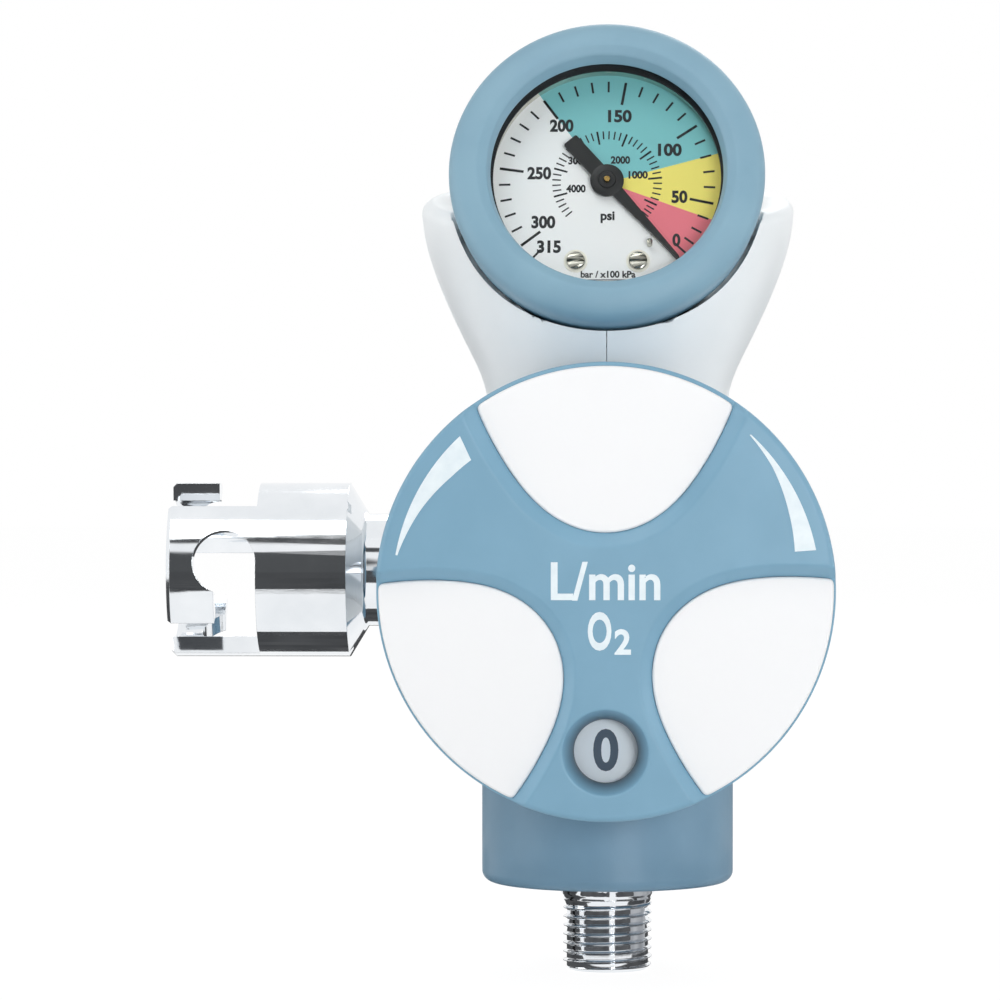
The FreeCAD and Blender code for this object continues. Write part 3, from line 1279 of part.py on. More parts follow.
def pointer():
    """Black pointer with hub, needle and counterweight, drawn at zero."""
    low = POINTER_W
    high = POINTER_W + POINTER_THICK
    shoulder = POINTER_TIP - POINTER_POINT
    needle = flat([(0, -POINTER_ROOT_HALF), (shoulder, -POINTER_TIP_HALF), (POINTER_TIP, 0),
                   (shoulder, POINTER_TIP_HALF), (0, POINTER_ROOT_HALF)], low, high)
    tail = flat([(0, -POINTER_TAIL_HALF), (0, POINTER_TAIL_HALF), (-POINTER_TAIL, POINTER_TAIL_HALF),
                 (-POINTER_TAIL, -POINTER_TAIL_HALF)], low, high)
    hub = cyl(POINTER_HUB_R, low, high)
    hub = hub.fuse(cyl(POINTER_HUB_R * POINTER_BOSS_SHARE, low, high + POINTER_BOSS))
    whole = needle.fuse(tail).fuse(hub).cut(cyl(SPINDLE_R, low - PAST, high + PAST))
    return to_gauge(turn(whole, V(0, 0, 1), POINTER_ZERO))


def gauge_dial():
    """Printed dial plate."""
    plate = ring(DIAL_R, DIAL_HOLE_R, DIAL_W - DIAL_THICK, DIAL_W)
    low = DIAL_W - DIAL_THICK - PAST
    high = DIAL_W + PAST
    for side in (-1, 1):
        plate = plate.cut(cyl(DIAL_SCREW_R + RUN, low, high, side * DIAL_SCREW_U, SOCKET_V))
    return to_gauge(plate.cut(cyl(STOP_PIN_R, low, high, *polar(STOP_R, STOP_ANGLE))))


def dial_screws():
    """Two small brass screws of the dial."""
    screw = cap_screw(DIAL_SCREW_R, DIAL_SCREW_HEAD_R, DIAL_SCREW_HEAD, DIAL_SCREW_LENGTH)
    group = []
    for side in (-1, 1):
        one = screw.copy()
        one.translate(V(side * DIAL_SCREW_U, SOCKET_V, DIAL_W))
        group.append(one)
    return to_gauge(Part.makeCompound(group))


def stop_pin():
    """Pin that the pointer rests against below zero."""
    x, y = polar(STOP_R, STOP_ANGLE)
    return to_gauge(cyl(STOP_PIN_R, DIAL_W - DIAL_THICK, STOP_PIN_FRONT, x, y))


def gauge_window():
    """Clear window of the gauge."""
    return to_gauge(cyl(GLASS_R - RUN, GLASS_FRONT - GLASS_THICK, GLASS_FRONT))


def window_spacer():
    """Ring that keeps the window off the dial."""
    return to_gauge(ring(DIAL_R, DIAL_R - SPACER_WALL, DIAL_W, GLASS_FRONT - GLASS_THICK))


def gauge_bezel():
    """Blue ring of the gauge with a rounded outer side, a ridge and a slope down to the window."""
    rear_in = CAN_R + LIFT
    corners = [V(rear_in, 0, BEZEL_BACK), V(BEZEL_BACK_R, 0, BEZEL_BACK), V(BEZEL_R, 0, 0),
               V(RIDGE_R, 0, RIDGE_W), V(WINDOW_OPEN_R, 0, BEZEL_LIP_W), V(WINDOW_OPEN_R, 0, GLASS_FRONT),
               V(GLASS_R, 0, GLASS_FRONT), V(GLASS_R, 0, CAN_FRONT), V(rear_in, 0, CAN_FRONT)]
    side = Part.Arc(corners[2], V(BEZEL_R - BEZEL_SIDE_IN, 0, BEZEL_SIDE_W), corners[3]).toShape()
    lines = [(0, 1), (1, 2), (3, 4), (4, 5), (5, 6), (6, 7), (7, 8), (8, 0)]
    edges = [Part.makeLine(corners[a], corners[b]) for a, b in lines[:2]] + [side]
    edges += [Part.makeLine(corners[a], corners[b]) for a, b in lines[2:]]
    return to_gauge(Part.Face(Part.Wire(edges)).revolve(V(0, 0, 0), V(0, 0, 1), 360))


NODES = {
    "body_block": body_block, "valve_seat": valve_seat, "valve_poppet": valve_poppet,
    "poppet_spring": poppet_spring, "piston": piston, "piston_o_ring": piston_o_ring,
    "piston_spring": piston_spring, "outlet_spigot": outlet_spigot, "outlet_o_ring": outlet_o_ring,
    "outlet_screws": outlet_screws, "gallery_plug": gallery_plug, "skirt": skirt,
    "skirt_screws": skirt_screws, "inlet_stem": inlet_stem, "bullnose_o_ring": bullnose_o_ring,
    "inlet_filter": inlet_filter, "inlet_nut": inlet_nut, "selector_housing": selector_housing,
    "selector_screws": selector_screws, "flow_dial": flow_dial, "selector_seal": selector_seal,
    "orifice_disc": orifice_disc, "selector_shaft": selector_shaft, "shaft_o_ring": shaft_o_ring,
    "thrust_washer": thrust_washer, "detent_ball": detent_ball, "detent_spring": detent_spring,
    "knob_body": knob_body, "shell_screws": shell_screws, "quick_sleeve": quick_sleeve,
    "socket_seal": socket_seal, "quick_poppet": quick_poppet, "quick_spring": quick_spring,
    "spring_retainer": spring_retainer, "relief_poppet": relief_poppet, "relief_spring": relief_spring,
    "relief_cap": relief_cap, "gauge_case": gauge_case, "gauge_socket": gauge_socket,
    "bourdon_tube": bourdon_tube, "movement_back_plate": movement_back_plate,
    "movement_front_plate": movement_front_plate, "movement_pillars": movement_pillars,
    "sector_gear": sector_gear, "gauge_link": gauge_link, "pointer_spindle": pointer_spindle,
    "pointer": pointer, "gauge_dial": gauge_dial, "dial_screws": dial_screws, "stop_pin": stop_pin,
    "gauge_window": gauge_window, "window_spacer": window_spacer, "gauge_bezel": gauge_bezel,
}


def main():
    """Build every piece and write it in the row's frame."""
    os.makedirs("parts", exist_ok=True)
    made = {name: build() for name, build in NODES.items()}
    made["shell_left"] = shell_half(-1)
    made["shell_right"] = shell_half(1)
    for i in range(PANELS):
        made["grip_insert_%d" % (i + 1)] = grip_insert(i)
    for name, shape in made.items():
        shape.translate(V(0, -ORIGIN_Y, 0))
        shape.exportStep("parts/%s.step" % name)
        print(name, len(shape.Solids), shape.isValid(), round(shape.Volume, 1))


main()
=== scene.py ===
"""Looks of a cylinder oxygen regulator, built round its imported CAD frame.

Lengths in the classes are millimetres on each piece's own axes. A Place turns them into metres in
the row frame. Heights of the knob and the dial are measured forward from the body's own axis.
"""

from __future__ import annotations

import json
import logging
import math
from dataclasses import dataclass, field
from enum import Enum
from typing import Callable, Iterable, Sequence

import bmesh
import bpy
import numpy as np
from mathutils import Matrix, Vector
from mathutils.geometry import delaunay_2d_cdt

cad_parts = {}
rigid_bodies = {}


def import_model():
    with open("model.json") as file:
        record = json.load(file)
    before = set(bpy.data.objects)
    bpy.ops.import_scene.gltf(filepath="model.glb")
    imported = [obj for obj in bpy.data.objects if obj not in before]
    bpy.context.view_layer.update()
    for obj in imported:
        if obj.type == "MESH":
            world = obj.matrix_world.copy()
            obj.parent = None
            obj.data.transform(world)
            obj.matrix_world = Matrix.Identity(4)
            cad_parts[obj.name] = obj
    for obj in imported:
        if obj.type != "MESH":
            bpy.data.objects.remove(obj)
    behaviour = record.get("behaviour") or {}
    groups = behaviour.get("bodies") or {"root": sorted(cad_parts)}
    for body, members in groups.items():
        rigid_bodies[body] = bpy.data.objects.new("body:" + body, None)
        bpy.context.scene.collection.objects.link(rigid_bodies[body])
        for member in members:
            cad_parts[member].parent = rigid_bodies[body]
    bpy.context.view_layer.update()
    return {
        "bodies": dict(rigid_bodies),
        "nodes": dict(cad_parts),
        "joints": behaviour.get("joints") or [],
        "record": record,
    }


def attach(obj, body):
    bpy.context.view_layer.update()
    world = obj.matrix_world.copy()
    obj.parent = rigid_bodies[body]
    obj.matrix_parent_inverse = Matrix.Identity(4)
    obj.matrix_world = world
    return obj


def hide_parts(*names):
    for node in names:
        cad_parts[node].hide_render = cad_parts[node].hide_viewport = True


LOG = logging.getLogger("regulator")
MM = 0.001
NUT_MIDDLE = 58.0
GAUGE_TILT = 17.5
GAUGE_AT = (0.0, -19.0, 64.8)
SIDE_HEIGHT = 2.0
Colour = tuple[int, int, int]
Point = tuple[float, float]


def linear(colour: Colour) -> tuple[float, float, float, float]:
    """Linear colour with full alpha from an 8 bit screen colour."""
    def one(c: float) -> float:
        c /= 255
        return c / 12.92 if c <= 0.04045 else ((c + 0.055) / 1.055) ** 2.4
    return (one(colour[0]), one(colour[1]), one(colour[2]), 1.0)


def linked(name: str, data: bpy.types.ID) -> bpy.types.Object:
    """New object in the scene."""
    thing = bpy.data.objects.new(name, data)
    bpy.context.scene.collection.objects.link(thing)
    return thing


def baked(thing: bpy.types.Object) -> bpy.types.Mesh:
    """Plain mesh of an object as its modifiers leave it."""
    return bpy.data.meshes.new_from_object(thing.evaluated_get(bpy.context.evaluated_depsgraph_get()))


def polar(radius: float, degrees: float) -> Point:
    """Point on a circle round the origin."""
    return radius * math.cos(math.radians(degrees)), radius * math.sin(math.radians(degrees))


class Place(Enum):
    """Ways in which a piece's own axes lie in the regulator: directions of its x, y and z, and its origin."""

    UP = ((1, 0, 0), (0, 1, 0), (0, 0, 1), (0, 0, 0))
    FRONT = ((1, 0, 0), (0, 0, 1), (0, -1, 0), (0, 0, 0))
    REAR = ((-1, 0, 0), (0, 0, 1), (0, 1, 0), (0, 0, 0))
    LEFT = ((0, -1, 0), (0, 0, 1), (-1, 0, 0), (0, 0, SIDE_HEIGHT))
    GAUGE = ((1, 0, 0),
             (0, math.sin(math.radians(GAUGE_TILT)), math.cos(math.radians(GAUGE_TILT))),
             (0, -math.cos(math.radians(GAUGE_TILT)), math.sin(math.radians(GAUGE_TILT))), GAUGE_AT)

    def matrix(self) -> Matrix:
        """Matrix from the piece's millimetres to the row's metres."""
        x, y, z, at = self.value
        turn = Matrix((x, y, z)).transposed().to_4x4()
        turn.translation = Vector(at) - Vector((0, NUT_MIDDLE, 0))
        return Matrix.Scale(MM, 4) @ turn

    def axis(self, index: int) -> Vector:
        """One of the piece's axes as a direction of the row frame."""
        return Vector(self.value[index])

    def origin(self) -> Vector:
        """The piece's origin in the row frame, in metres."""
        return self.matrix().translation


# Node trees written as expressions


class Value:
    """A socket of a node tree; arithmetic on it adds Math nodes."""

    def __init__(self, tree: bpy.types.NodeTree, socket: bpy.types.NodeSocket) -> None:
        self.tree = tree
        self.socket = socket

    def math(self, operation: str, *operands: "Value | float", clamp: bool = False) -> "Value":
        """Result of one Math node.

        Args:
            operation: the node's operation.
            operands: its inputs in order.
            clamp: whether the result is kept between 0 and 1.

        Returns:
            The node's output.
        """
        node = self.tree.nodes.new("ShaderNodeMath")
        node.operation = operation
        node.use_clamp = clamp
        for index, operand in enumerate(operands):
            join(self.tree, operand, node.inputs[index])
        return Value(self.tree, node.outputs[0])

    def __add__(self, other: "Value | float") -> "Value":
        return self.math("ADD", self, other)

    def __sub__(self, other: "Value | float") -> "Value":
        return self.math("SUBTRACT", self, other)

    def __rsub__(self, other: float) -> "Value":
        return self.math("SUBTRACT", other, self)

    def __mul__(self, other: "Value | float") -> "Value":
        return self.math("MULTIPLY", self, other)

    def __truediv__(self, other: "Value | float") -> "Value":
        return self.math("DIVIDE", self, other)

    def __pow__(self, other: float) -> "Value":
        return self.math("POWER", self, other)

    def __gt__(self, other: "Value | float") -> "Value":
        return self.math("GREATER_THAN", self, other)

    def __lt__(self, other: "Value | float") -> "Value":
        return self.math("LESS_THAN", self, other)

    __radd__ = __add__
    __rmul__ = __mul__

    def __abs__(self) -> "Value":
        return self.math("ABSOLUTE", self)

    def part(self) -> "Value":
        """Fraction left after the whole number."""
        return self.math("FRACT", self)

    def least(self, other: "Value | float") -> "Value":
        """The smaller of two."""
        return self.math("MINIMUM", self, other)

    def most(self, other: "Value | float") -> "Value":
        """The larger of two."""
        return self.math("MAXIMUM", self, other)

    def share(self, low: float, high: float) -> "Value":
        """Where it lies between two values, kept between 0 and 1."""
        return self.math("MULTIPLY", self - low, 1 / (high - low), clamp=True)

    def sine(self) -> "Value":
        """Sine of an angle in radians."""
        return self.math("SINE", self)

    def cosine(self) -> "Value":
        """Cosine of an angle in radians."""
        return self.math("COSINE", self)


def join(tree: bpy.types.NodeTree, source: object, target: bpy.types.NodeSocket) -> None:
    """Links a socket to another, or sets its value.

    Args:
        tree: the tree that holds them.
        source: a Value to link, or a plain number, vector, colour or data block to set.
        target: the input socket.
    """
    if isinstance(source, Value):
        tree.links.new(source.socket, target)
    else:
        target.default_value = source


class Recipe:
    """A node tree under construction."""

    def __init__(self, tree: bpy.types.NodeTree) -> None:
        self.tree = tree

    def node(self, kind: str, settings: dict[str, object] | None = None,
             sockets: dict[str | int, object] | None = None, output: str | int = 0) -> Value:
        """Adds a node.

        Args:
            kind: the node's type.
            settings: properties that are set first.
            sockets: values or links of its inputs, by name or index.
            output: the output that is returned.

        Returns:
            That output.
        """
        node = self.tree.nodes.new(kind)
        for name, setting in (settings or {}).items():
            setattr(node, name, setting)
        for name, source in (sockets or {}).items():
            join(self.tree, source, node.inputs[name])
        return Value(self.tree, node.outputs[output] if node.outputs else None)

    def blend(self, share: Value | float, first: object, second: object) -> Value:
        """Colour between two colours."""
        return self.node("ShaderNodeMix", {"data_type": "RGBA"}, {0: share, 6: first, 7: second}, 2)

    def dot(self, vector: Value, direction: Vector) -> Value:
        """Length of a vector along a direction."""
        return self.node("ShaderNodeVectorMath", {"operation": "DOT_PRODUCT"},
                         {0: vector, 1: tuple(direction)}, "Value")

    def noise(self, point: Value, size_mm: float, detail: float = 2.0, rough: float = 0.5) -> Value:
        """Noise of a feature size in millimetres, about 0.5 in the middle."""
        return self.node("ShaderNodeTexNoise", None, {"Vector": point, "Scale": 1 / (size_mm * MM),
                                                      "Detail": detail, "Roughness": rough})

    def place(self) -> Value:
        """Place on the piece in the row frame."""
        return self.node("ShaderNodeTexCoord", output="Object")

    def stretched(self, point: Value, factors: tuple[float, float, float]) -> Value:
        """Place drawn out along the axes."""
        return self.node("ShaderNodeMapping", None, {"Vector": point, "Scale": factors})


def blank(block: bpy.types.Material | bpy.types.World) -> Recipe:
    """Emptied node tree of a material or a world."""
    block.use_nodes = True
    block.node_tree.nodes.clear()
    return Recipe(block.node_tree)


class Shaper(Recipe):
    """A Geometry Nodes tree with named inputs, baked to a plain mesh."""

    def __init__(self, name: str, inputs: dict[str, float | int]) -> None:
        tree = bpy.data.node_groups.new(name, "GeometryNodeTree")
        super().__init__(tree)
        self.inputs = inputs
        for key, number in inputs.items():
            kind = "NodeSocketInt" if isinstance(number, int) else "NodeSocketFloat"
            tree.interface.new_socket(key, in_out="INPUT", socket_type=kind)
        tree.interface.new_socket("Geometry", in_out="OUTPUT", socket_type="NodeSocketGeometry")
        self.group = tree.nodes.new("NodeGroupInput")
        self.out = tree.nodes.new("NodeGroupOutput")

    def value(self, name: str) -> Value:
        """One of the named inputs."""
        return Value(self.tree, self.group.outputs[name])

    def bake(self, shape: Value, material: bpy.types.Material) -> bpy.types.Mesh:
        """Closes the tree and evaluates it.

        Args:
            shape: the geometry that the tree ends in.
            material: set on all of it.

        Returns:
            The plain mesh.
        """
        real = self.node("GeometryNodeRealizeInstances", None, {0: shape})
        dressed = self.node("GeometryNodeSetMaterial", None, {"Geometry": real, "Material": material})
        join(self.tree, dressed, self.out.inputs[0])
        carrier = linked(self.tree.name, bpy.data.meshes.new(self.tree.name))
        modifier = carrier.modifiers.new("shape", "NODES")
        modifier.node_group = self.tree
        for item in self.tree.interface.items_tree:
            if item.in_out == "INPUT":
                modifier[item.identifier] = self.inputs[item.name]
        mesh = baked(carrier)
        bpy.data.objects.remove(carrier)
        return mesh


# Finishes


@dataclass(frozen=True)
class Finish:
    """A solid surface: colour with slow mottling, uneven gloss, a fine grain and softened edges."""

    name: str
    slot: str
    colour: Colour
    mottle: Colour
    roughness: float = 0.45
    uneven: float = 0.08
    metallic: float = 0.0
    grain_mm: float = 0.25
    grain_depth: float = 0.004
    drawn: tuple[float, float, float] = (1.0, 1.0, 1.0)
    edge_mm: float = 0.0
    cloud_mm: float = 9.0

    def material(self) -> bpy.types.Material:
        """The material, made once."""
        found = bpy.data.materials.get(self.name)
        if found:
            return found
        made = bpy.data.materials.new(self.name)
        recipe = blank(made)
        made.diffuse_color = linear(self.colour)
        recipe.node("ShaderNodeOutputMaterial", None, {"Surface": self.surface(recipe)})
        return made

    def paint(self, recipe: Recipe, point: Value) -> Value:
        """Base colour over the surface."""
        cloud = recipe.noise(point, self.cloud_mm, 3.0).share(0.3, 0.7)
        return recipe.blend(cloud, linear(self.colour), linear(self.mottle))

    def surface(self, recipe: Recipe) -> Value:
        """Shader of the finish.

        Args:
            recipe: the material's tree.

        Returns:
            The shader's output.
        """
        point = recipe.place()
        drawn = recipe.stretched(point, self.drawn)
        grain = recipe.noise(drawn, self.grain_mm, 3.0, 0.6)
        smudge = recipe.noise(point, self.cloud_mm * 0.4, 4.0)
        rough = (smudge - 0.5) * (2 * self.uneven) + (grain - 0.5) * self.uneven + self.roughness
        bump = {"Height": grain, "Distance": self.grain_depth * MM, "Strength": 1.0}
        if self.edge_mm:
            bump["Normal"] = recipe.node("ShaderNodeBevel", {"samples": 4}, {"Radius": self.edge_mm * MM})
        return recipe.node("ShaderNodeBsdfPrincipled", None, {
            "Base Color": self.paint(recipe, point), "Roughness": rough.most(0.02),
            "Metallic": self.metallic, "Normal": recipe.node("ShaderNodeBump", None, bump)})


@dataclass(frozen=True)
class KnobBlue(Finish):
    """The knob's blue, with painted shade down the wall of the window."""

    centre: Point = (0.0, -24.4)
    reach: float = 6.5
    depths: tuple[float, float] = (43.2, 39.4)
    # colour of the painted shade at the bottom of the window's mouth
    recess_shade: Colour = (62, 84, 100)

    def paint(self, recipe: Recipe, point: Value) -> Value:
        """Blue with painted shade that grows with depth inside the window's mouth."""
        parts = [recipe.node("ShaderNodeSeparateXYZ", None, {0: point}, axis) for axis in "XYZ"]
        across, height = parts[0] - self.centre[0] * MM, parts[2] - self.centre[1] * MM
        near = (across * across + height * height) < (self.reach * MM) ** 2
        front = (-self.depths[0] - NUT_MIDDLE) * MM, (-self.depths[1] - NUT_MIDDLE) * MM
        # painted shade: share of the shade colour, growing with depth close round the window
        depth = parts[1].share(*front) * near
        return recipe.blend(depth, super().paint(recipe, point), linear(self.recess_shade))


@dataclass(frozen=True)
class DialPaint(Finish):
    """White dial with its red, yellow and green sectors."""

    bounds: tuple[float, float, float, float] = (-49.0, -20.7, 15.6, 126.0)
    sectors: tuple[Colour, Colour, Colour] = ((246, 128, 142), (255, 240, 122), (130, 204, 208))

    def paint(self, recipe: Recipe, point: Value) -> Value:
        """White, with one sector after another laid over it."""
        origin = Place.GAUGE.origin()
        across = recipe.dot(point, Place.GAUGE.axis(0)) - origin.dot(Place.GAUGE.axis(0))
        along = recipe.dot(point, Place.GAUGE.axis(1)) - origin.dot(Place.GAUGE.axis(1))
        angle = across.math("ARCTAN2", along, across) * math.degrees(1)
        colour = super().paint(recipe, point)
        for start, end, sector in zip(self.bounds, self.bounds[1:], self.sectors):
            inside = (angle > start) * (angle < end)
            colour = recipe.blend(inside, colour, linear(sector))
        return colour


@dataclass(frozen=True)
class ClearWindow(Finish):
    """Clear moulded window that lets light through and mirrors a little."""

    def surface(self, recipe: Recipe) -> Value:
        """Clear shader, with a mirror that grows toward the rim of view."""
        shine = recipe.noise(recipe.place(), self.cloud_mm, 2.0)
        mirror = recipe.node("ShaderNodeFresnel", None, {"IOR": 1.25})
        shadow = recipe.node("ShaderNodeLightPath", output="Is Shadow Ray")
        clear = recipe.node("ShaderNodeBsdfTransparent", None, {"Color": linear(self.colour)})
        gloss = recipe.node("ShaderNodeBsdfPrincipled", None, {
            "Base Color": recipe.blend(shine, linear(self.colour), linear(self.mottle)),
            "Metallic": 1.0, "Roughness": shine * self.uneven + self.roughness})
        share = mirror * (1 - shadow)
        return recipe.node("ShaderNodeMixShader", None, {0: share, 1: clear, 2: gloss})


# the knob's blue, with painted shade in the window's mouth
BLUE = KnobBlue("blue_satin", "blue_plastic", (125, 169, 194), (120, 164, 189), 0.42, 0.06,
                grain_mm=0.35, grain_depth=0.006)
BEZEL_BLUE = Finish("bezel_blue", "blue_plastic", (136, 174, 193), (130, 168, 188), 0.5, 0.08,
                    grain_mm=0.3, grain_depth=0.008)
SKIRT_BLUE = Finish("skirt_blue", "blue_plastic", (118, 154, 178), (112, 148, 172), 0.4, 0.08,
                    grain_mm=0.28, grain_depth=0.014)
SHELL_WHITE = Finish("shell_white", "white_plastic", (246, 250, 252), (242, 247, 249), 0.38, 0.06,
                     grain_mm=0.4, grain_depth=0.004, edge_mm=0.15)
GRIP_WHITE = Finish("grip_white", "grip_white", (246, 250, 250), (242, 247, 247), 0.5, 0.06,
                    grain_mm=0.3, grain_depth=0.006)
CHROME = Finish("chrome_plate", "chrome", (240, 243, 246), (228, 232, 236), 0.07, 0.05, 1.0,
                grain_mm=0.5, grain_depth=0.0012, drawn=(0.3, 2.0, 2.0), edge_mm=0.12)
NICKEL = Finish("nickel_plate", "silver_plate", (206, 204, 194), (180, 177, 164), 0.24, 0.1, 1.0,
                grain_mm=0.2, grain_depth=0.001, edge_mm=0.06)
# pale colour of the rings round the dial screws: a painted highlight
SCREW_RING_HIGHLIGHT = Finish("screw_ring_highlight", "dial_paint", (252, 249, 238), (246, 242, 228), 0.35, 0.06,
                    grain_mm=0.2, grain_depth=0.001)
BRASS = Finish("turned_brass", "brass", (205, 172, 104), (188, 152, 88), 0.26, 0.1, 1.0,
               grain_mm=0.3, grain_depth=0.002, edge_mm=0.1)
STEEL = Finish("ground_steel", "steel", (190, 192, 194), (172, 174, 178), 0.28, 0.1, 1.0,
               grain_mm=0.2, grain_depth=0.002, edge_mm=0.08)
SILVER = Finish("silvered_plate", "silver_plate", (240, 250, 255), (232, 244, 253), 0.34, 0.08, 0.0,
                grain_mm=0.12, grain_depth=0.001)
ALUMINIUM = Finish("bead_blasted", "aluminium", (178, 181, 184), (166, 169, 173), 0.4, 0.08, 1.0,
                   grain_mm=0.18, grain_depth=0.004, edge_mm=0.1)
SEAL = Finish("seal_rubber", "seal", (38, 40, 42), (30, 31, 33), 0.6, 0.12, grain_mm=0.3, grain_depth=0.004)
BEARING = Finish("bearing_plastic", "bearing_plastic", (226, 222, 208), (216, 211, 196), 0.42, 0.08,
                 grain_mm=0.3, grain_depth=0.002)
BLACK = Finish("black_enamel", "black_paint", (14, 15, 17), (22, 23, 25), 0.4, 0.1,
               grain_mm=0.2, grain_depth=0.002)
DIAL_INK = Finish("dial_ink", "black_paint", (26, 28, 32), (36, 38, 42), 0.55, 0.1,
                  grain_mm=0.1, grain_depth=0.001)
NUMBER_INK = Finish("number_ink", "black_paint", (62, 82, 102), (70, 90, 110), 0.5, 0.1,
                    grain_mm=0.1, grain_depth=0.001)
WHITE_INK = Finish("white_ink", "white_plastic", (236, 246, 250), (226, 238, 244), 0.5, 0.1,
                   grain_mm=0.25, grain_depth=0.006, cloud_mm=1.6)
DIAL = DialPaint("dial_print", "dial_paint", (255, 255, 255), (252, 254, 255), 0.4, 0.05,
                 grain_mm=0.15, grain_depth=0.001)
WINDOW = ClearWindow("clear_window", "clear", (254, 255, 255), (240, 244, 248), 0.03, 0.02)


# Meshes


@dataclass
class Shape:
    """Corners in millimetres and the faces that join them."""

    points: list[tuple[float, float, float]] = field(default_factory=list)
    faces: list[tuple[int, ...]] = field(default_factory=list)

    def add(self, other: "Shape") -> "Shape":
        """This shape with another one's faces added."""
        start = len(self.points)
        self.points += other.points
        self.faces += [tuple(i + start for i in face) for face in other.faces]
        return self

    def mesh(self, name: str, place: Place, weld: float = 1e-4) -> bpy.types.Mesh:
        """Mesh in the row frame, welded and turned outward.

        Args:
            name: the mesh's name.
            place: how the shape lies in the regulator.
            weld: distance in millimetres under which corners become one.

        Returns:
            The mesh.
        """
        mesh = bpy.data.meshes.new(name)
        mesh.from_pydata(self.points, [], self.faces)
        model = bmesh.new()
        model.from_mesh(mesh)
        bmesh.ops.remove_doubles(model, verts=model.verts, dist=weld)
        bmesh.ops.dissolve_degenerate(model, edges=model.edges, dist=weld)
        bmesh.ops.delete(model, geom=[v for v in model.verts if not v.link_faces], context="VERTS")
        bmesh.ops.recalc_face_normals(model, faces=model.faces)
        model.to_mesh(mesh)
        model.free()
        mesh.transform(place.matrix())
        return mesh


def lathe(profile: Sequence[Point], segments: int = 128, closed: bool = True) -> Shape:
    """Shape turned about z from radii and heights.

    Args:
        profile: corners as radius and height; a closed profile ends where it starts.
        segments: corners round the axis.
        closed: whether the last corner joins the first.

    Returns:
        The turned shape.
    """
    shape = Shape()
    for k in range(segments):
        angle = 2 * math.pi * k / segments
        shape.points += [(r * math.cos(angle), r * math.sin(angle), z) for r, z in profile]
    count = len(profile)
    last = count if closed else count - 1
    for k in range(segments):
        here, there = k * count, (k + 1) % segments * count
        for i in range(last):
            j = (i + 1) % count
            shape.faces.append((here + i, there + i, there + j, here + j))
    return shape


def arc(centre: Point, radius: float, start: float, end: float, steps: int) -> list[Point]:
    """Points along an arc, its ends included."""
    angles = [start + (end - start) * i / steps for i in range(steps + 1)]
    return [(centre[0] + polar(radius, a)[0], centre[1] + polar(radius, a)[1]) for a in angles]


def inside(outline: Sequence[Point], x: np.ndarray, y: np.ndarray) -> np.ndarray:
    """Whether each point lies inside a closed outline."""
    result = np.zeros(x.shape, bool)
    for (x0, y0), (x1, y1) in zip(outline, list(outline[1:]) + [outline[0]]):
        if y0 != y1:
            result ^= ((y0 > y) != (y1 > y)) & (x < (x1 - x0) * (y - y0) / (y1 - y0) + x0)
    return result


def sheet(closed: Iterable[Sequence[Point]], open_lines: Iterable[Sequence[Point]], loose: Iterable[Point],
          keep: Callable[[np.ndarray, np.ndarray], np.ndarray]) -> tuple[list[Point], list[tuple[int, ...]]]:
    """Flat triangles that follow outlines.

    Args:
        closed: outlines that end where they start.
        open_lines: further lines that edges follow.
        loose: single points.
        keep: says for arrays of x and y which triangle centres belong to the sheet.

    Returns:
        The corners and the faces.
    """
    points: list[Point] = []
    edges: list[tuple[int, int]] = []
    for lines, wrap in ((closed, True), (open_lines, False)):
        for line in lines:
            start = len(points)
            points += list(line)
            edges += [(start + i, start + i + 1) for i in range(len(line) - 1)]
            if wrap:
                edges.append((start + len(line) - 1, start))
    points += list(loose)
    corners, _, faces, *_ = delaunay_2d_cdt([Vector(p) for p in points], edges, [], 0, 1e-5, False)
    flat = np.array([tuple(c) for c in corners])
    centres = flat[np.array(faces)].mean(axis=1)
    wanted = keep(centres[:, 0], centres[:, 1])
    return [tuple(c) for c in flat.tolist()], [tuple(f) for f, good in zip(faces, wanted) if good]


def border(faces: Sequence[tuple[int, ...]]) -> list[tuple[int, int]]:
    """Edges that only one face has, in the order of that face."""
    seen: dict[tuple[int, int], tuple[int, int]] = {}
    for face in faces:
        for a, b in zip(face, face[1:] + face[:1]):
            key = (min(a, b), max(a, b))
            if key in seen:
                del seen[key]
            else:
                seen[key] = (a, b)
    return list(seen.values())


def text_mesh(words: str, height: float, width: float, weight: float = 0.0, thick: float = 0.02) -> Shape:
    """Solid lettering, centred, drawn to a height and a width.

    Args:
        words: what it says.
        height: height of the drawn letters in millimetres.
        width: width of the whole line.
        weight: how much the strokes are thickened, as a share of the height.
        thick: thickness.

    Returns:
        The letters, lying on z = 0.
    """
    curve = bpy.data.curves.new("lettering", "FONT")
    curve.body = words
    curve.offset = weight
    curve.extrude = 0.5
    curve.resolution_u = 5
    carrier = linked("lettering", curve)
    mesh = baked(carrier)
    corners = np.array([v.co for v in mesh.vertices])
    low, high = corners.min(axis=0), corners.max(axis=0)
    size = np.array([width, height, thick]) / (high - low)
    centre = (low + high) / 2
    centre[2] = low[2]
    corners = (corners - centre) * size
    shape = Shape([tuple(c) for c in corners.tolist()], [tuple(p.vertices) for p in mesh.polygons])
    bpy.data.objects.remove(carrier)
    bpy.data.meshes.remove(mesh)
    bpy.data.curves.remove(curve)
    return shape


def laid(shape: Shape, x: float, y: float, lift: Callable[[float, float], float], turn: float = 0.0) -> Shape:
    """The shape turned in its plane, moved to a place and raised onto a surface."""
    cosine, sine = math.cos(math.radians(turn)), math.sin(math.radians(turn))
    moved = []
    for px, py, pz in shape.points:
        at = (x + px * cosine - py * sine, y + px * sine + py * cosine)
        moved.append((*at, pz + lift(*at)))
    return Shape(moved, shape.faces)


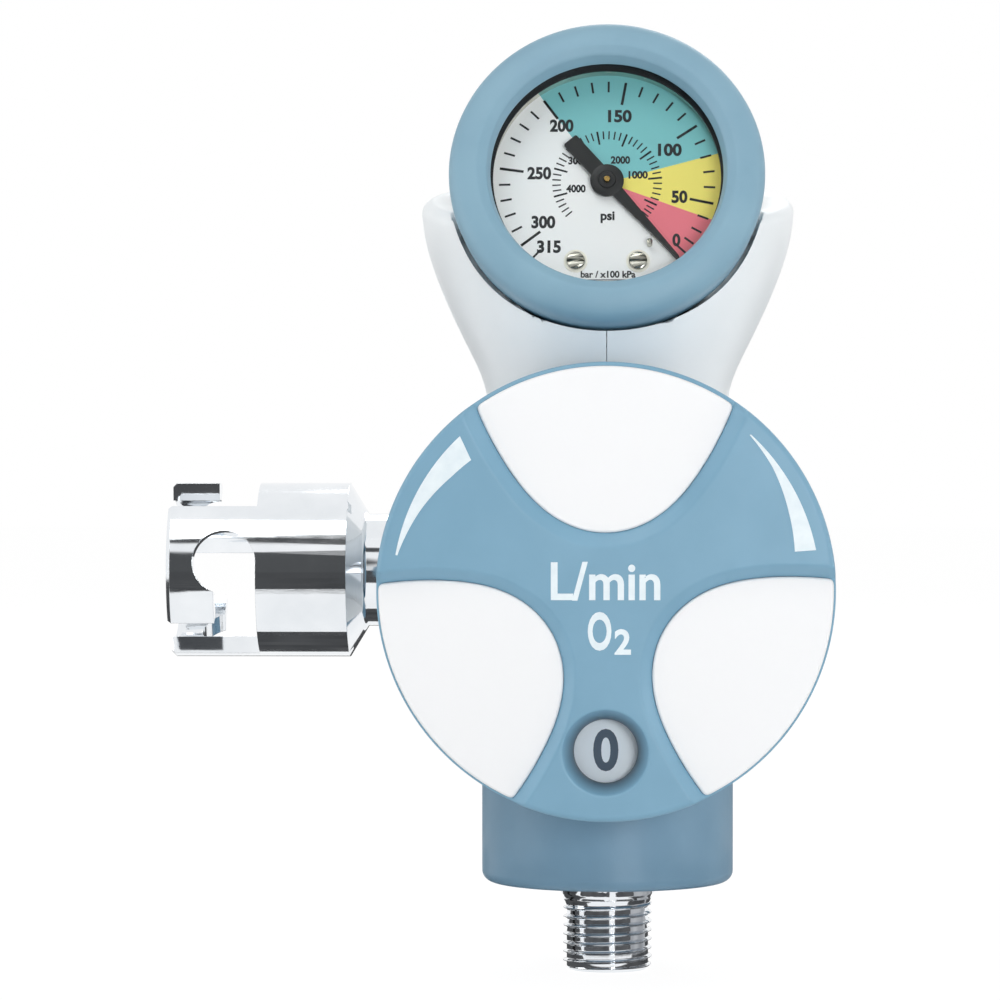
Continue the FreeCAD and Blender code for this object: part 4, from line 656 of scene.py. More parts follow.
class Workshop:
    """Finishes meshes as pieces of the regulator and dresses the CAD nodes that stay."""

    def __init__(self, frame: dict) -> None:
        self.nodes = frame["nodes"]

    def copy(self, node: str, weld: float = 0.002) -> bpy.types.Mesh:
        """Welded copy of a CAD node's mesh."""
        mesh = self.nodes[node].data.copy()
        model = bmesh.new()
        model.from_mesh(mesh)
        bmesh.ops.remove_doubles(model, verts=model.verts, dist=weld * MM)
        bmesh.ops.dissolve_degenerate(model, edges=model.edges, dist=weld * MM * 0.1)
        model.to_mesh(mesh)
        model.free()
        mesh.materials.clear()
        return mesh

    def piece(self, name: str, mesh: bpy.types.Mesh, finish: Finish, body: str = "regulator",
              nodes: Sequence[str] = (), sharp: float = 32.0, level: bool = True) -> bpy.types.Object:
        """A finished piece.

        Args:
            name: its name.
            mesh: its mesh, in the row frame.
            finish: its material.
            body: the CAD body that it moves with.
            nodes: CAD nodes that it stands for.
            sharp: angle in degrees above which an edge stays sharp.
            level: whether broad faces keep their own shading beside narrow rounded ones.

        Returns:
            The object.
        """
        mesh.shade_smooth()
        mesh.set_sharp_from_angle(angle=math.radians(sharp))
        thing = linked(name, mesh)
        if level:
            weighting = thing.modifiers.new("level", "WEIGHTED_NORMAL")
            weighting.keep_sharp = True
            weighting.weight = 80
            thing.data = baked(thing)
            thing.modifiers.clear()
        thing.data.name = name
        thing.data.materials.clear()
        thing.data.materials.append(finish.material())
        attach(thing, body)
        if nodes:
            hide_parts(*nodes)
        LOG.info("piece %s: %d faces, rides on %s", name, len(thing.data.polygons), body)
        return thing

    def smooth(self, node: str, finish: Finish, sharp: float = 32.0) -> bpy.types.Object:
        """A CAD node shown by a welded, smoothly shaded copy."""
        return self.piece(f"{node}_finished", self.copy(node), finish, nodes=(node,), sharp=sharp)

    def keep(self, node: str, finish: Finish) -> None:
        """A CAD node that stays and takes a finish."""
        mesh = self.nodes[node].data
        if not mesh.materials:
            mesh.materials.append(finish.material())
        for slot in self.nodes[node].material_slots:
            slot.material = finish.material()
        LOG.info("node %s keeps its mesh, finish %s", node, finish.name)


# The flow knob


@dataclass
class FlowKnob:
    """Three-armed knob with domed finger panels, a window, wedge marks and lettering."""

    radius: float = 35.0
    back: float = 22.5
    front: float = 43.96
    rim_drop: float = 0.6
    rim_round: float = 1.0
    wall: float = 2.6
    inside_face: float = 39.0
    hub_radius: float = 7.0
    hub_start: float = 37.7
    shaft_radius: float = 3.0
    arm_bevels: tuple[float, ...] = (2.3, 1.9, 1.9)
    bevel: tuple[Point, ...] = ((0.0, 1.0), (0.04, 0.93), (0.25, 0.7), (0.5, 0.44), (0.7, 0.24), (0.8, 0.145),
                                (0.88, 0.08), (0.95, 0.035), (1.03, 0.01), (1.12, 0.0))
    step: float = 0.45
    pocket_floor: float = 40.5
    lips: tuple[float, ...] = (0.6, 0.3, 0.3)
    reach: tuple[float, ...] = (14.6, -0.573, 0.737, -0.0114)
    panel_centre: float = 24.5
    pattern_at: Point = (0.2, -0.9)
    pattern_turn: float = 0.63
    corner: float = 0.9
    panel_gap: float = 0.03
    panel_inner: float = 43.0
    panel_outer: float = 41.2
    panel_round: float = 0.45
    window_at: float = -24.4
    window_bore: float = 4.85
    segments: int = 240
    funnel: tuple[Point, ...] = ((4.85, 4.6), (4.92, 4.2), (5.1, 3.4), (5.4, 2.5), (5.75, 1.7), (6.05, 1.1),
                                 (6.28, 0.65), (6.42, 0.34), (6.52, 0.14), (6.66, 0.03), (6.9, 0.0))
    turns: tuple[float, ...] = (0.0, 120.0, 240.0)
    lettering: tuple[tuple[str, float, float, float, float, float], ...] = (
        ("L/min", 5.9, 16.6, 0.0, 1.7, 0.018), ("O", 5.9, 3.6, -0.9, -5.9, 0.03),
        ("2", 3.9, 2.5, 2.6, -7.5, 0.03))

    def span(self, angle: float) -> tuple[float, float]:
        """Radius of a panel's inner edge round the panel's centre, and its growth, at an angle in radians."""
        radius = sum(k * angle ** (2 * i) for i, k in enumerate(self.reach))
        growth = sum(2 * i * k * angle ** (2 * i - 1) for i, k in enumerate(self.reach) if i)
        return radius, growth

    def edge(self, angle: float, away: float, turn: float) -> Vector:
        """Point beside the inner edge of the panel at a turn, so far outward of it."""
        radius, growth = self.span(angle)
        along, across = Vector((math.sin(angle), -math.cos(angle))), Vector((math.cos(angle), math.sin(angle)))
        run = (along * growth + across * radius).normalized()
        at = along * radius + Vector((run.y, -run.x)) * away + Vector((0, self.panel_centre))
        return Matrix.Rotation(math.radians(turn + self.pattern_turn), 2) @ at + Vector(self.pattern_at)

    def beside(self, x: float, y: float, turn: float) -> float:
        """Distance outward from the inner edge of the panel at a turn; negative inside the panel."""
        back = Matrix.Rotation(-math.radians(turn + self.pattern_turn), 2)
        at = back @ (Vector((x, y)) - Vector(self.pattern_at)) - Vector((0, self.panel_centre))
        radius, growth = self.span(math.atan2(at.x, -at.y))
        return (at.length - radius) * radius / math.hypot(radius, growth)

    def top(self, r: float) -> float:
        """Height of the arms' dome."""
        return self.front - self.rim_drop * (r / self.radius) ** 2

    def height(self, x: float, y: float) -> float:
        """Height of the blue surface."""
        r = math.hypot(x, y)
        level = self.top(r)
        under = 0.0
        for turn, size in zip(self.turns, self.arm_bevels):
            share = self.beside(x, y, turn) / size
            under = max(under, float(np.interp(share, [p[0] for p in self.bevel], [p[1] for p in self.bevel])))
        level -= under * (level - self.dome(x, y) + self.step)
        rim = max(0.0, r - (self.radius - self.rim_round))
        if rim > 0:
            fall = self.rim_round - math.sqrt(max(0.0, self.rim_round ** 2 - rim ** 2))
            level -= fall * (1 - 0.65 * under)
        hole = math.hypot(x, y - self.window_at)
        if hole < self.funnel[-1][0]:
            level -= float(np.interp(hole, [p[0] for p in self.funnel], [p[1] for p in self.funnel]))
        return level

    def panel_outline(self, inset: float, turn: float) -> list[Point]:
        """Closed outline of a panel, moved inward.

        Args:
            inset: how far inward, in millimetres.
            turn: turn of the panel about the knob's axis, in degrees.

        Returns:
            Points along the outline.
        """
        cut = max(self.corner - inset, 0.2)
        reach = self.radius - self.lips[self.turns.index(turn)] - inset
        ends = []
        for side in (1, -1):
            near, far = 1.0, 2.1
            for _ in range(30):
                middle = (near + far) / 2
                if self.edge(side * middle, -inset, turn).length < reach:
                    near = middle
                else:
                    far = middle
            start = near - cut / 25
            tip, before = self.edge(side * near, -inset, turn), self.edge(side * start, -inset, turn)
            angle = math.atan2(tip.y, tip.x) + side * cut / reach
            after = Vector((math.cos(angle), math.sin(angle))) * reach
            bend = [before * (1 - t) ** 2 + tip * 2 * t * (1 - t) + after * t * t
                    for t in (0, 0.25, 0.5, 0.75, 1)]
            ends.append((start, angle, bend))
        (right, first, bend), (left, last, back) = ends
        inner = [self.edge(-left + (right + left) * i / 72, -inset, turn) for i in range(1, 72)]
        sweep = math.degrees((last - first) % (2 * math.pi))
        rim = arc((0, 0), reach, math.degrees(first), math.degrees(first) + sweep, 60)[1:-1]
        return [tuple(p) for p in inner + bend + [Vector(p) for p in rim] + back[::-1]]

    def edge_line(self, away: float, turn: float) -> list[Point]:
        """Line along the arms at a distance from a panel's inner edge, out to the rim."""
        points = [self.edge(math.radians(a * 1.5), away, turn) for a in range(-80, 81)]
        return [tuple(p) for p in points if p.length < self.radius + 1.6]

    def body(self) -> Shape:
        """The blue moulding: front, pockets, outer wall, hollow and hub."""
        pockets = [self.panel_outline(0.0, turn) for turn in self.turns]
        window = (0.0, self.window_at)
        step = 360 / self.segments
        rings = [arc((0, 0), self.radius - self.rim_round * (1 - math.sin(math.radians(a))), 0, 360 - step,
                     self.segments - 1) for a in (90, 72, 54, 36, 18, 0)]
        rings += [arc((0, 0), r, 0, 360 - 5, 71) for r in (7, 13, 19, 25, 30.5)]
        rings += [arc(window, r, 0, 355, 71) for r, _ in self.funnel]
        lines = [self.edge_line(size * share, turn) for turn, size in zip(self.turns, self.arm_bevels)
                 for share, _ in self.bevel[1:]]

        def on_blue(x: np.ndarray, y: np.ndarray) -> np.ndarray:
            """Inside the rim and outside the pockets and the window."""
            good = (np.hypot(x, y) < self.radius) & (np.hypot(x, y - self.window_at) > self.window_bore)
            for pocket in pockets:
                good &= ~inside(pocket, x, y)
            return good

        flat, faces = sheet(pockets + rings, lines, [(0.0, 0.0)], on_blue)
        shape = Shape([(x, y, self.height(x, y)) for x, y in flat], list(faces))
        rows = {"rim": (self.back + 0.5, self.back), "window": (self.inside_face,),
                "pocket": (self.pocket_floor,)}
        for a, b in border(faces):
            (xa, ya), (xb, yb) = flat[a], flat[b]
            middle = math.hypot((xa + xb) / 2, (ya + yb) / 2)
            if middle > self.radius - 0.05:
                kind = "rim"
            elif math.hypot((xa + xb) / 2, (ya + yb) / 2 - self.window_at) < self.window_bore + 0.1:
                kind = "window"
            else:
                kind = "pocket"
            upper = (a, b)
            for level in rows[kind]:
                shrink = (self.radius - 0.4) / self.radius if level == self.back else 1.0
                start = len(shape.points)
                shape.points += [(xa * shrink, ya * shrink, level), (xb * shrink, yb * shrink, level)]
                shape.faces.append((upper[1], upper[0], start, start + 1))
                upper = (start, start + 1)
        for turn in self.turns:
            outline = self.panel_outline(0.0, turn)
            start = len(shape.points)
            shape.points += [(x, y, self.pocket_floor) for x, y in outline]
            shape.faces.append(tuple(range(start, start + len(outline))))
        inner = self.radius - self.wall
        hollow = lathe([(self.radius - 0.4, self.back), (inner + 0.4, self.back), (inner, self.back + 0.4),
                        (inner, self.inside_face)], self.segments, closed=False)
        shape.add(hollow)
        ceiling, panes = sheet([arc((0, 0), inner, 0, 360 - step, self.segments - 1),
                                arc(window, self.window_bore, 0, 355, 71)], [], [],
                               lambda x, y: (np.hypot(x, y) < inner)
                               & (np.hypot(x, y - self.window_at) > self.window_bore))
        shape.add(Shape([(x, y, self.inside_face) for x, y in ceiling], panes))
        return shape.add(self.hub())

    def hub(self) -> Shape:
        """Boss on the inside that takes the shaft."""
        low, high = self.hub_start, self.inside_face + 0.3
        return lathe([(self.shaft_radius, low), (self.hub_radius - 0.3, low), (self.hub_radius, low + 0.3),
                      (self.hub_radius, high), (self.shaft_radius, high)], 96)

    def panel(self, turn: float) -> Shape:
        """One domed finger panel with rounded edges."""
        steps = [self.panel_gap + self.panel_round * (1 - math.sin(math.radians(a)))
                 for a in (90, 66, 44, 24, 10, 0)]
        outer = self.panel_outline(steps[0], turn)
        inner_loops = [self.panel_outline(s, turn) for s in steps[1:]]
        grid = [(x * 2.4, y * 2.4) for x in range(-15, 16) for y in range(-15, 16)]
        core = self.panel_outline(steps[-1] + 0.8, turn)
        gx, gy = np.array([g[0] for g in grid]), np.array([g[1] for g in grid])
        loose = [g for g, good in zip(grid, inside(core, gx, gy)) if good]
        flat, faces = sheet([outer] + inner_loops, [], loose, lambda x, y: inside(outer, x, y))
        depth = self.edge_depth(turn)
        points = [(x, y, self.dome(x, y) - depth(x, y)) for x, y in flat]
        shape = Shape(points, list(faces))
        base = self.pocket_floor + 0.05
        for a, b in border(faces):
            start = len(shape.points)
            shape.points += [(*flat[a], base), (*flat[b], base)]
            shape.faces.append((b, a, start, start + 1))
        start = len(shape.points)
        shape.points += [(x, y, base) for x, y in outer]
        shape.faces.append(tuple(range(start, start + len(outer))))
        return shape

    def dome(self, x: float, y: float) -> float:
        """Height of the panels' dome."""
        return self.panel_inner - (self.panel_inner - self.panel_outer) * (math.hypot(x, y) / self.radius) ** 2

    def edge_depth(self, turn: float) -> Callable[[float, float], float]:
        """How far the panel's rounded edge lies under its dome, as a function of place."""
        outline = np.array(self.panel_outline(self.panel_gap, turn))
        follow = np.roll(outline, -1, axis=0) - outline
        square = (follow ** 2).sum(axis=1)

        def depth(x: float, y: float) -> float:
            """Depth at a place."""
            away = np.array([x, y]) - outline
            share = np.clip((away * follow).sum(axis=1) / square, 0, 1)
            distance = float(np.hypot(*(away - follow * share[:, None]).T).min())
            left = max(0.0, 1 - distance / self.panel_round)
            return self.panel_round * (1 - math.sqrt(max(0.0, 1 - left * left)))
        return depth

    def wedge(self, outer: Sequence[Point], inner: Sequence[Point]) -> Shape:
        """Raised wedge mark between an outer and an inner line, given as radii and rising angles."""
        count = 40

        def line(stops: Sequence[Point]) -> list[Point]:
            """Evenly spaced points through the stops."""
            angles = np.linspace(stops[0][1], stops[-1][1], count)
            radii = np.interp(angles, [s[1] for s in stops], [s[0] for s in stops])
            return [polar(r, a) for r, a in zip(radii, angles)]
        far, near = line(outer), line(inner)
        shape = Shape()
        for (fx, fy), (nx, ny) in zip(far, near):
            for level in (0.09, -0.1):
                shape.points += [(fx, fy, self.height(fx, fy) + level), (nx, ny, self.height(nx, ny) + level)]
        for i in range(count - 1):
            a, b = 4 * i, 4 * i + 4
            shape.faces += [(a, a + 1, b + 1, b), (a + 2, b + 2, b + 3, a + 3), (a, b, b + 2, a + 2),
                            (a + 1, a + 3, b + 3, b + 1)]
        shape.faces += [(0, 2, 3, 1), (4 * count - 4, 4 * count - 3, 4 * count - 1, 4 * count - 2)]
        return shape

    def marks(self) -> Shape:
        """White wedges, the unit and the name of the gas."""
        shape = self.wedge(((32.4, 133), (32.4, 170)), ((28.6, 135.5), (29.2, 143), (30.7, 156), (32.1, 170)))
        shape.add(self.wedge(((32.5, 11.4), (32.5, 47.5)),
                             ((29.3, 12.2), (30.3, 24), (31.6, 37), (32.3, 47.5))))
        for words, height, width, x, y, weight in self.lettering:
            shape.add(laid(text_mesh(words, height, width, weight, 0.08), x, y,
                           lambda px, py: self.top(math.hypot(px, py)) - 0.05))
        return shape

    def build(self, shop: Workshop) -> None:
        """Builds and dresses the knob's pieces."""
        shop.piece("knob_moulding", self.body().mesh("knob_moulding", Place.FRONT), BLUE, "flow_knob",
                   ("knob_body",), 38)
        for index, turn in enumerate(self.turns, 1):
            shop.piece(f"finger_panel_{index}", self.panel(turn).mesh("panel", Place.FRONT), GRIP_WHITE,
                       "flow_knob", (f"grip_insert_{index}",), 50)
        shop.piece("knob_marks", self.marks().mesh("knob_marks", Place.FRONT), WHITE_INK, "flow_knob",
                   sharp=30)


@dataclass
class FlowDial:
    """Fixed silvered plate whose numbers show one by one in the knob's window."""

    face: float = 37.1
    pitch: float = 24.4
    numbers: tuple[str, ...] = ("0", "0.5", "1", "2", "3", "4", "5", "6", "8", "10", "12", "15")
    one_figure: Point = (6.5, 3.85)
    more_figures: Point = (5.2, 6.2)

    def print(self) -> Shape:
        """All numbers, their tops toward the centre."""
        shape = Shape()
        for index, number in enumerate(self.numbers):
            angle = -90 - 30 * index
            height, width = self.one_figure if len(number) == 1 else self.more_figures
            figures = text_mesh(number, height, width, 0.03, 0.03)
            shape.add(laid(figures, *polar(self.pitch, angle), lambda px, py: self.face, angle + 90))
        return shape

    def build(self, shop: Workshop) -> None:
        """Builds and dresses the plate and its numbers."""
        shop.smooth("flow_dial", SILVER)
        shop.piece("flow_numbers", self.print().mesh("flow_numbers", Place.FRONT), NUMBER_INK, sharp=30)


# Threads


@dataclass
class Thread:
    """Outside thread on a turned end, drawn as one helical surface with a chamfered start."""

    crest: float
    pitch: float
    low: float
    high: float
    bore: float
    chamfer: float
    depth_share: float = 0.42
    segments: int = 96

    def surface(self, name: str, material: bpy.types.Material) -> bpy.types.Mesh:
        """Helical surface from the low end to the high end, which stays at full radius.

        Args:
            name: name of the tree.
            material: set on the surface.

        Returns:
            The mesh, in millimetres about z.
        """
        rows = 16
        turns = math.ceil((self.high - self.low) / self.pitch)
        tree = Shaper(name, {"Crest": self.crest, "Depth": self.pitch * self.depth_share, "Pitch": self.pitch,
                             "Low": self.low, "High": self.high, "Chamfer": self.chamfer, "Turns": turns + 1,
                             "Around": self.segments + 1, "Along": rows * (turns + 1) + 1})
        grid = tree.node("GeometryNodeMeshGrid", None, {
            "Size X": 1.0, "Size Y": 1.0, "Vertices X": tree.value("Around"),
            "Vertices Y": tree.value("Along")})
        place = tree.node("GeometryNodeInputPosition")
        around = tree.node("ShaderNodeSeparateXYZ", None, {0: place}, "X") + 0.5
        along = (tree.node("ShaderNodeSeparateXYZ", None, {0: place}, "Y") + 0.5) * tree.value("Turns")
        height = tree.value("Low") + (along + around - 1.0) * tree.value("Pitch")
        height = height.most(tree.value("Low")).least(tree.value("High"))
        groove = abs(along.part() * 2.0 - 1.0).share(0.1, 0.42)
        fade = ((tree.value("High") - height) / tree.value("Pitch")).share(0.0, 1.0)
        radius = tree.value("Crest") - groove * tree.value("Depth") * fade
        radius = radius.least(tree.value("Crest") - tree.value("Chamfer") + (height - tree.value("Low")))
        angle = around * (2 * math.pi)
        spot = tree.node("ShaderNodeCombineXYZ", None, {
            0: radius * angle.cosine(), 1: radius * angle.sine(), 2: height})
        shaped = tree.node("GeometryNodeSetPosition", None, {"Geometry": grid, "Position": spot})
        welded = tree.node("GeometryNodeMergeByDistance", None, {"Geometry": shaped, "Distance": 0.0005})
        return tree.bake(welded, material)

    def closing(self) -> Shape:
        """End face, bore and hidden inner end."""
        start = self.crest - self.chamfer
        return lathe([(start, self.low), (self.bore + 0.4, self.low), (self.bore, self.low + 0.4),
                      (self.bore, self.high), (self.crest, self.high)], self.segments, closed=False)

    def mesh(self, name: str, place: Place, material: bpy.types.Material) -> bpy.types.Mesh:
        """The whole threaded end in the row frame."""
        helix = self.surface(f"{name}_helix", material)
        shape = Shape([tuple(v.co) for v in helix.vertices], [tuple(p.vertices) for p in helix.polygons])
        bpy.data.meshes.remove(helix)
        return shape.add(self.closing()).mesh(name, place, 0.002)


def cut_off(mesh: bpy.types.Mesh, point: Vector, direction: Vector) -> None:
    """Cuts off what lies beyond a plane and closes the cut.

    Args:
        mesh: welded mesh in the row frame.
        point: a point of the plane.
        direction: points to the side that goes.
    """
    model = bmesh.new()
    model.from_mesh(mesh)
    everything = list(model.verts) + list(model.edges) + list(model.faces)
    cut = bmesh.ops.bisect_plane(model, geom=everything, plane_co=point, plane_no=direction, dist=1e-7,
                                 clear_outer=True)
    edges = [e for e in cut["geom_cut"] if isinstance(e, bmesh.types.BMEdge)]
    bmesh.ops.triangle_fill(model, edges=edges, use_beauty=True, normal=direction)
    model.to_mesh(mesh)
    model.free()


def merged(first: bpy.types.Mesh, second: bpy.types.Mesh, name: str) -> bpy.types.Mesh:
    """One mesh of two."""
    model = bmesh.new()
    model.from_mesh(first)
    model.from_mesh(second)
    mesh = bpy.data.meshes.new(name)
    model.to_mesh(mesh)
    model.free()
    return mesh


@dataclass
class ThreadedEnds:
    """The outlet that points down and the inlet's nut, with their threads."""

    outlet: Thread = field(default_factory=lambda: Thread(7.144, 25.4 / 18, -62.3, -50.8, 3.5, 0.9))
    inlet: Thread = field(default_factory=lambda: Thread(11.456, 25.4 / 14, -64.0, -52.3, 7.0, 1.2))

    def build(self, shop: Workshop) -> None:
        """Builds and dresses both ends."""
        spigot = shop.copy("outlet_spigot")
        cut_off(spigot, Place.UP.matrix() @ Vector((0, 0, self.outlet.high)), Vector((0, 0, -1)))
        thread = self.outlet.mesh("outlet_thread", Place.UP, CHROME.material())
        shop.piece("outlet_spigot_threaded", merged(spigot, thread, "outlet"), CHROME,
                   nodes=("outlet_spigot",), sharp=28)
        nut = shop.copy("inlet_nut")
        cut_off(nut, Place.REAR.matrix() @ Vector((0, 0, -self.inlet.high)), Vector((0, 1, 0)))
        rear = self.inlet.mesh("inlet_thread", Place.FRONT, CHROME.material())
        shop.piece("inlet_nut_threaded", merged(nut, rear, "nut"), CHROME, "coupling_nut", ("inlet_nut",), 28)


# The gauge


@dataclass
class PressureScale:
    """Angles of the gauge's two scales: even above 50 bar, closer together near zero."""

    zero: float = -58.0
    per_bar: float = 0.92
    ease: float = 9.0
    ease_end: float = 50.0
    ease_power: float = 2.5
    bar_per_psi: float = 0.0689476
    ink: float = 0.03

    def ticks(self, name: str, count: int, step: float, near: float, far: float, wide: float,
              material: bpy.types.Material) -> bpy.types.Mesh:
        """A row of tick marks.

        Args:
            name: name of the tree.
            count: number of marks, the one at zero included.
            step: pressure between two of them, in bar.
            near: inner radius.
            far: outer radius.
            wide: width of a mark.
            material: set on the marks.

        Returns:
            The marks, in millimetres on the dial's plane.
        """
        tree = Shaper(name, {"Count": count, "Step": step, "Near": near, "Far": far, "Wide": wide,
                             "Thick": self.ink})
        points = tree.node("GeometryNodePoints", None, {"Count": tree.value("Count")})
        bar = tree.node("GeometryNodeInputIndex") * tree.value("Step")
        eased = (1 - bar / self.ease_end).most(0.0) ** self.ease_power
        angle = (bar * self.per_bar + self.zero + eased * self.ease) * math.radians(1)
        middle = (tree.value("Near") + tree.value("Far")) * 0.5
        spot = tree.node("ShaderNodeCombineXYZ", None, {0: middle * angle.cosine(), 1: middle * angle.sine(),
                                                        2: tree.value("Thick") * 0.5})
        placed = tree.node("GeometryNodeSetPosition", None, {"Geometry": points, "Position": spot})
        size = tree.node("ShaderNodeCombineXYZ", None, {0: tree.value("Far") - tree.value("Near"),
                                                        1: tree.value("Wide"), 2: tree.value("Thick")})
        mark = tree.node("GeometryNodeMeshCube", None, {"Size": size})
        turn = tree.node("ShaderNodeCombineXYZ", None, {2: angle})
        marks = tree.node("GeometryNodeInstanceOnPoints", None, {
            "Points": placed, "Instance": mark, "Rotation": turn})
        return tree.bake(marks, material)


@dataclass
class Gauge:
    """Tilted pressure gauge: bezel, window, printed dial, pointer, dial screws, stop pin and rings."""

    dial: float = -4.2
    screw_at: Point = (4.9, -13.1)
    pointer_levels: tuple[float, float] = (-3.4, -3.0)
    pointer_rest: float = -49.0
    scale: PressureScale = field(default_factory=PressureScale)
    bar_numbers: tuple[tuple[str, float, float], ...] = (
        ("0", 10.9, -9.6), ("50", 11.4, -2.4), ("100", 9.9, 5.5), ("150", 2.0, 11.2), ("200", -7.2, 9.6),
        ("250", -10.7, 1.6), ("300", -10.0, -6.6), ("315", -9.1, -10.7))
    psi_numbers: tuple[tuple[str, float, float], ...] = (
        ("1000", 4.9, 1.3), ("2000", 2.1, 3.8), ("3000", -4.6, 3.7), ("4000", -4.9, -1.0))

    def bezel(self) -> Shape:
        """Ring with a round outer side, a low crest and a slope down to the window."""
        profile = [(22.05, -6.0), (24.0, -6.0), (24.2, -5.8), (24.62, -2.0), (24.8, -0.4), (24.78, 0.5),
                   (24.62, 1.25), (24.3, 1.95), (23.8, 2.5), (23.1, 2.95), (22.3, 3.28), (21.4, 3.52),
                   (20.7, 3.6), (20.35, 3.57), (20.1, 3.48), (19.2, 2.98), (18.9, 2.76), (18.74, 2.52),
                   (18.36, 1.1), (18.28, 0.85), (18.25, 0.6), (18.25, 0.3), (19.9, 0.3), (19.9, -1.6),
                   (22.05, -1.6)]
        return lathe(profile, 192)

    def window(self) -> Shape:
        """Flat window with a small bevel."""
        r, front, back = 19.82, 0.29, -1.58
        return lathe([(0.0, back), (r, back), (r, front - 0.1), (r - 0.1, front), (0.0, front)], 128, False)

    def rings(self, shop: Workshop) -> None:
        """Black seal under the window, the bright ring below it and the pale rings round the screws, coloured
        as a painted highlight round each screw head.
        """
        seal = lathe([(17.9, -2.0), (20.75, -2.0), (20.75, -1.62), (17.9, -1.62)], 192)
        shop.piece("window_seal", seal.mesh("window_seal", Place.GAUGE), SEAL, nodes=("window_spacer",))
        bright = lathe([(18.1, self.dial), (20.7, self.dial), (20.7, -2.02), (18.1, -2.02)], 192)
        shop.piece("dial_surround", bright.mesh("dial_surround", Place.GAUGE), NICKEL)
        # pale rings round the screw heads, coloured as a painted highlight
        pale = Shape()
        for side in (-1, 1):
            ring = lathe([(1.42, self.dial), (1.9, self.dial), (1.84, -4.06), (1.66, -4.0), (1.48, -4.06)], 48)
            pale.add(laid(ring, side * self.screw_at[0], self.screw_at[1], lambda x, y: 0.0))
        shop.piece("screw_rings", pale.mesh("screw_rings", Place.GAUGE), SCREW_RING_HIGHLIGHT)

    def pointer(self) -> Shape:
        """Tapering pointer with a broad tail and a stepped hub."""
        low, high = self.pointer_levels
        outline = [(17.2, 0.12), (16.8, 0.26), (2.0, 0.98), (2.0, 1.3), (-8.8, 1.3), (-9.0, 1.1)]
        outline += [(u, -v) for u, v in reversed(outline)]
        count = len(outline)
        shape = Shape([(u, v, z) for z in (low, high) for u, v in outline],
                      [tuple(range(count)), tuple(range(count, 2 * count))]
                      + [(i, (i + 1) % count, count + (i + 1) % count, count + i) for i in range(count)])
        shape.add(lathe([(0.62, low), (2.65, low), (2.65, high + 0.02), (2.5, high + 0.08), (1.4, high + 0.08),
                         (1.3, high + 0.25), (0.62, high + 0.25)], 64))
        return laid(shape, 0.0, 0.0, lambda x, y: 0.0, self.pointer_rest)

    def print(self) -> Shape:
        """Ticks, numbers and units of both scales."""
        psi = self.scale.bar_per_psi
        rows = (("bar_fine", 32, 10.0, 15.25, 17.05, 0.33), ("bar_main", 7, 50.0, 13.3, 17.1, 0.42),
                ("psi_fine", 45, 100 * psi, 7.3, 8.65, 0.22), ("psi_main", 9, 500 * psi, 6.5, 8.7, 0.3))
        shape = Shape()
        for name, count, step, near, far, wide in rows:
            mesh = self.scale.ticks(name, count, step, near, far, wide, DIAL_INK.material())
            marks = Shape([tuple(v.co) for v in mesh.vertices], [tuple(p.vertices) for p in mesh.polygons])
            shape.add(laid(marks, 0, 0, lambda x, y: self.dial))
            bpy.data.meshes.remove(mesh)
        words = [(text, 2.12, 1.25 * len(text), u, v, 0.04) for text, u, v in self.bar_numbers]
        words += [(text, 1.3, 0.76 * len(text), u, v, 0.04) for text, u, v in self.psi_numbers]
        words += [("psi", 1.95, 2.2, 0.1, -5.8, 0.035), ("bar / x100 kPa", 1.15, 8.6, 0.2, -15.3, 0.03)]
        for text, height, width, u, v, weight in words:
            shape.add(laid(text_mesh(text, height, width, weight, 0.03), u, v, lambda x, y: self.dial))
        line = Shape([(x, y, self.dial + z) for x in (-3.1, 3.3) for y in (-16.3, -16.15) for z in (0, 0.03)],
                     [(0, 1, 3, 2), (4, 6, 7, 5), (0, 4, 5, 1), (2, 3, 7, 6), (0, 2, 6, 4), (1, 5, 7, 3)])
        return shape.add(line)

    def build(self, shop: Workshop) -> None:
        """Builds and dresses the gauge's pieces."""
        shop.piece("bezel_ring", self.bezel().mesh("bezel_ring", Place.GAUGE), BEZEL_BLUE,
                   nodes=("gauge_bezel",), sharp=40)
        shop.piece("gauge_glass", self.window().mesh("gauge_glass", Place.GAUGE), WINDOW,
                   nodes=("gauge_window",))
        shop.smooth("gauge_dial", DIAL)
        shop.piece("dial_marks", self.print().mesh("dial_marks", Place.GAUGE), DIAL_INK, sharp=30, level=False)
        shop.piece("pointer_blade", self.pointer().mesh("pointer_blade", Place.GAUGE), BLACK, "needle",
                   ("pointer",))
        for node in ("dial_screws", "stop_pin"):
            shop.smooth(node, NICKEL)
        self.rings(shop)


# Everything else


@dataclass
class Housings:
    """White shell in two halves, the blue skirt and the chromed quick outlet."""

    seam: float = 0.05

    def build(self, shop: Workshop) -> None:
        """Dresses copies of the CAD solids; each shell half is cut back at the seam."""
        for node, side in (("shell_left", 1.0), ("shell_right", -1.0)):
            mesh = shop.copy(node)
            cut_off(mesh, Vector((-side * self.seam * MM, 0, 0)), Vector((side, 0, 0)))
            shop.piece(f"{node}_moulding", mesh, SHELL_WHITE, nodes=(node,), sharp=30)
        shop.smooth("skirt", SKIRT_BLUE)
        shop.smooth("quick_sleeve", CHROME, sharp=26)


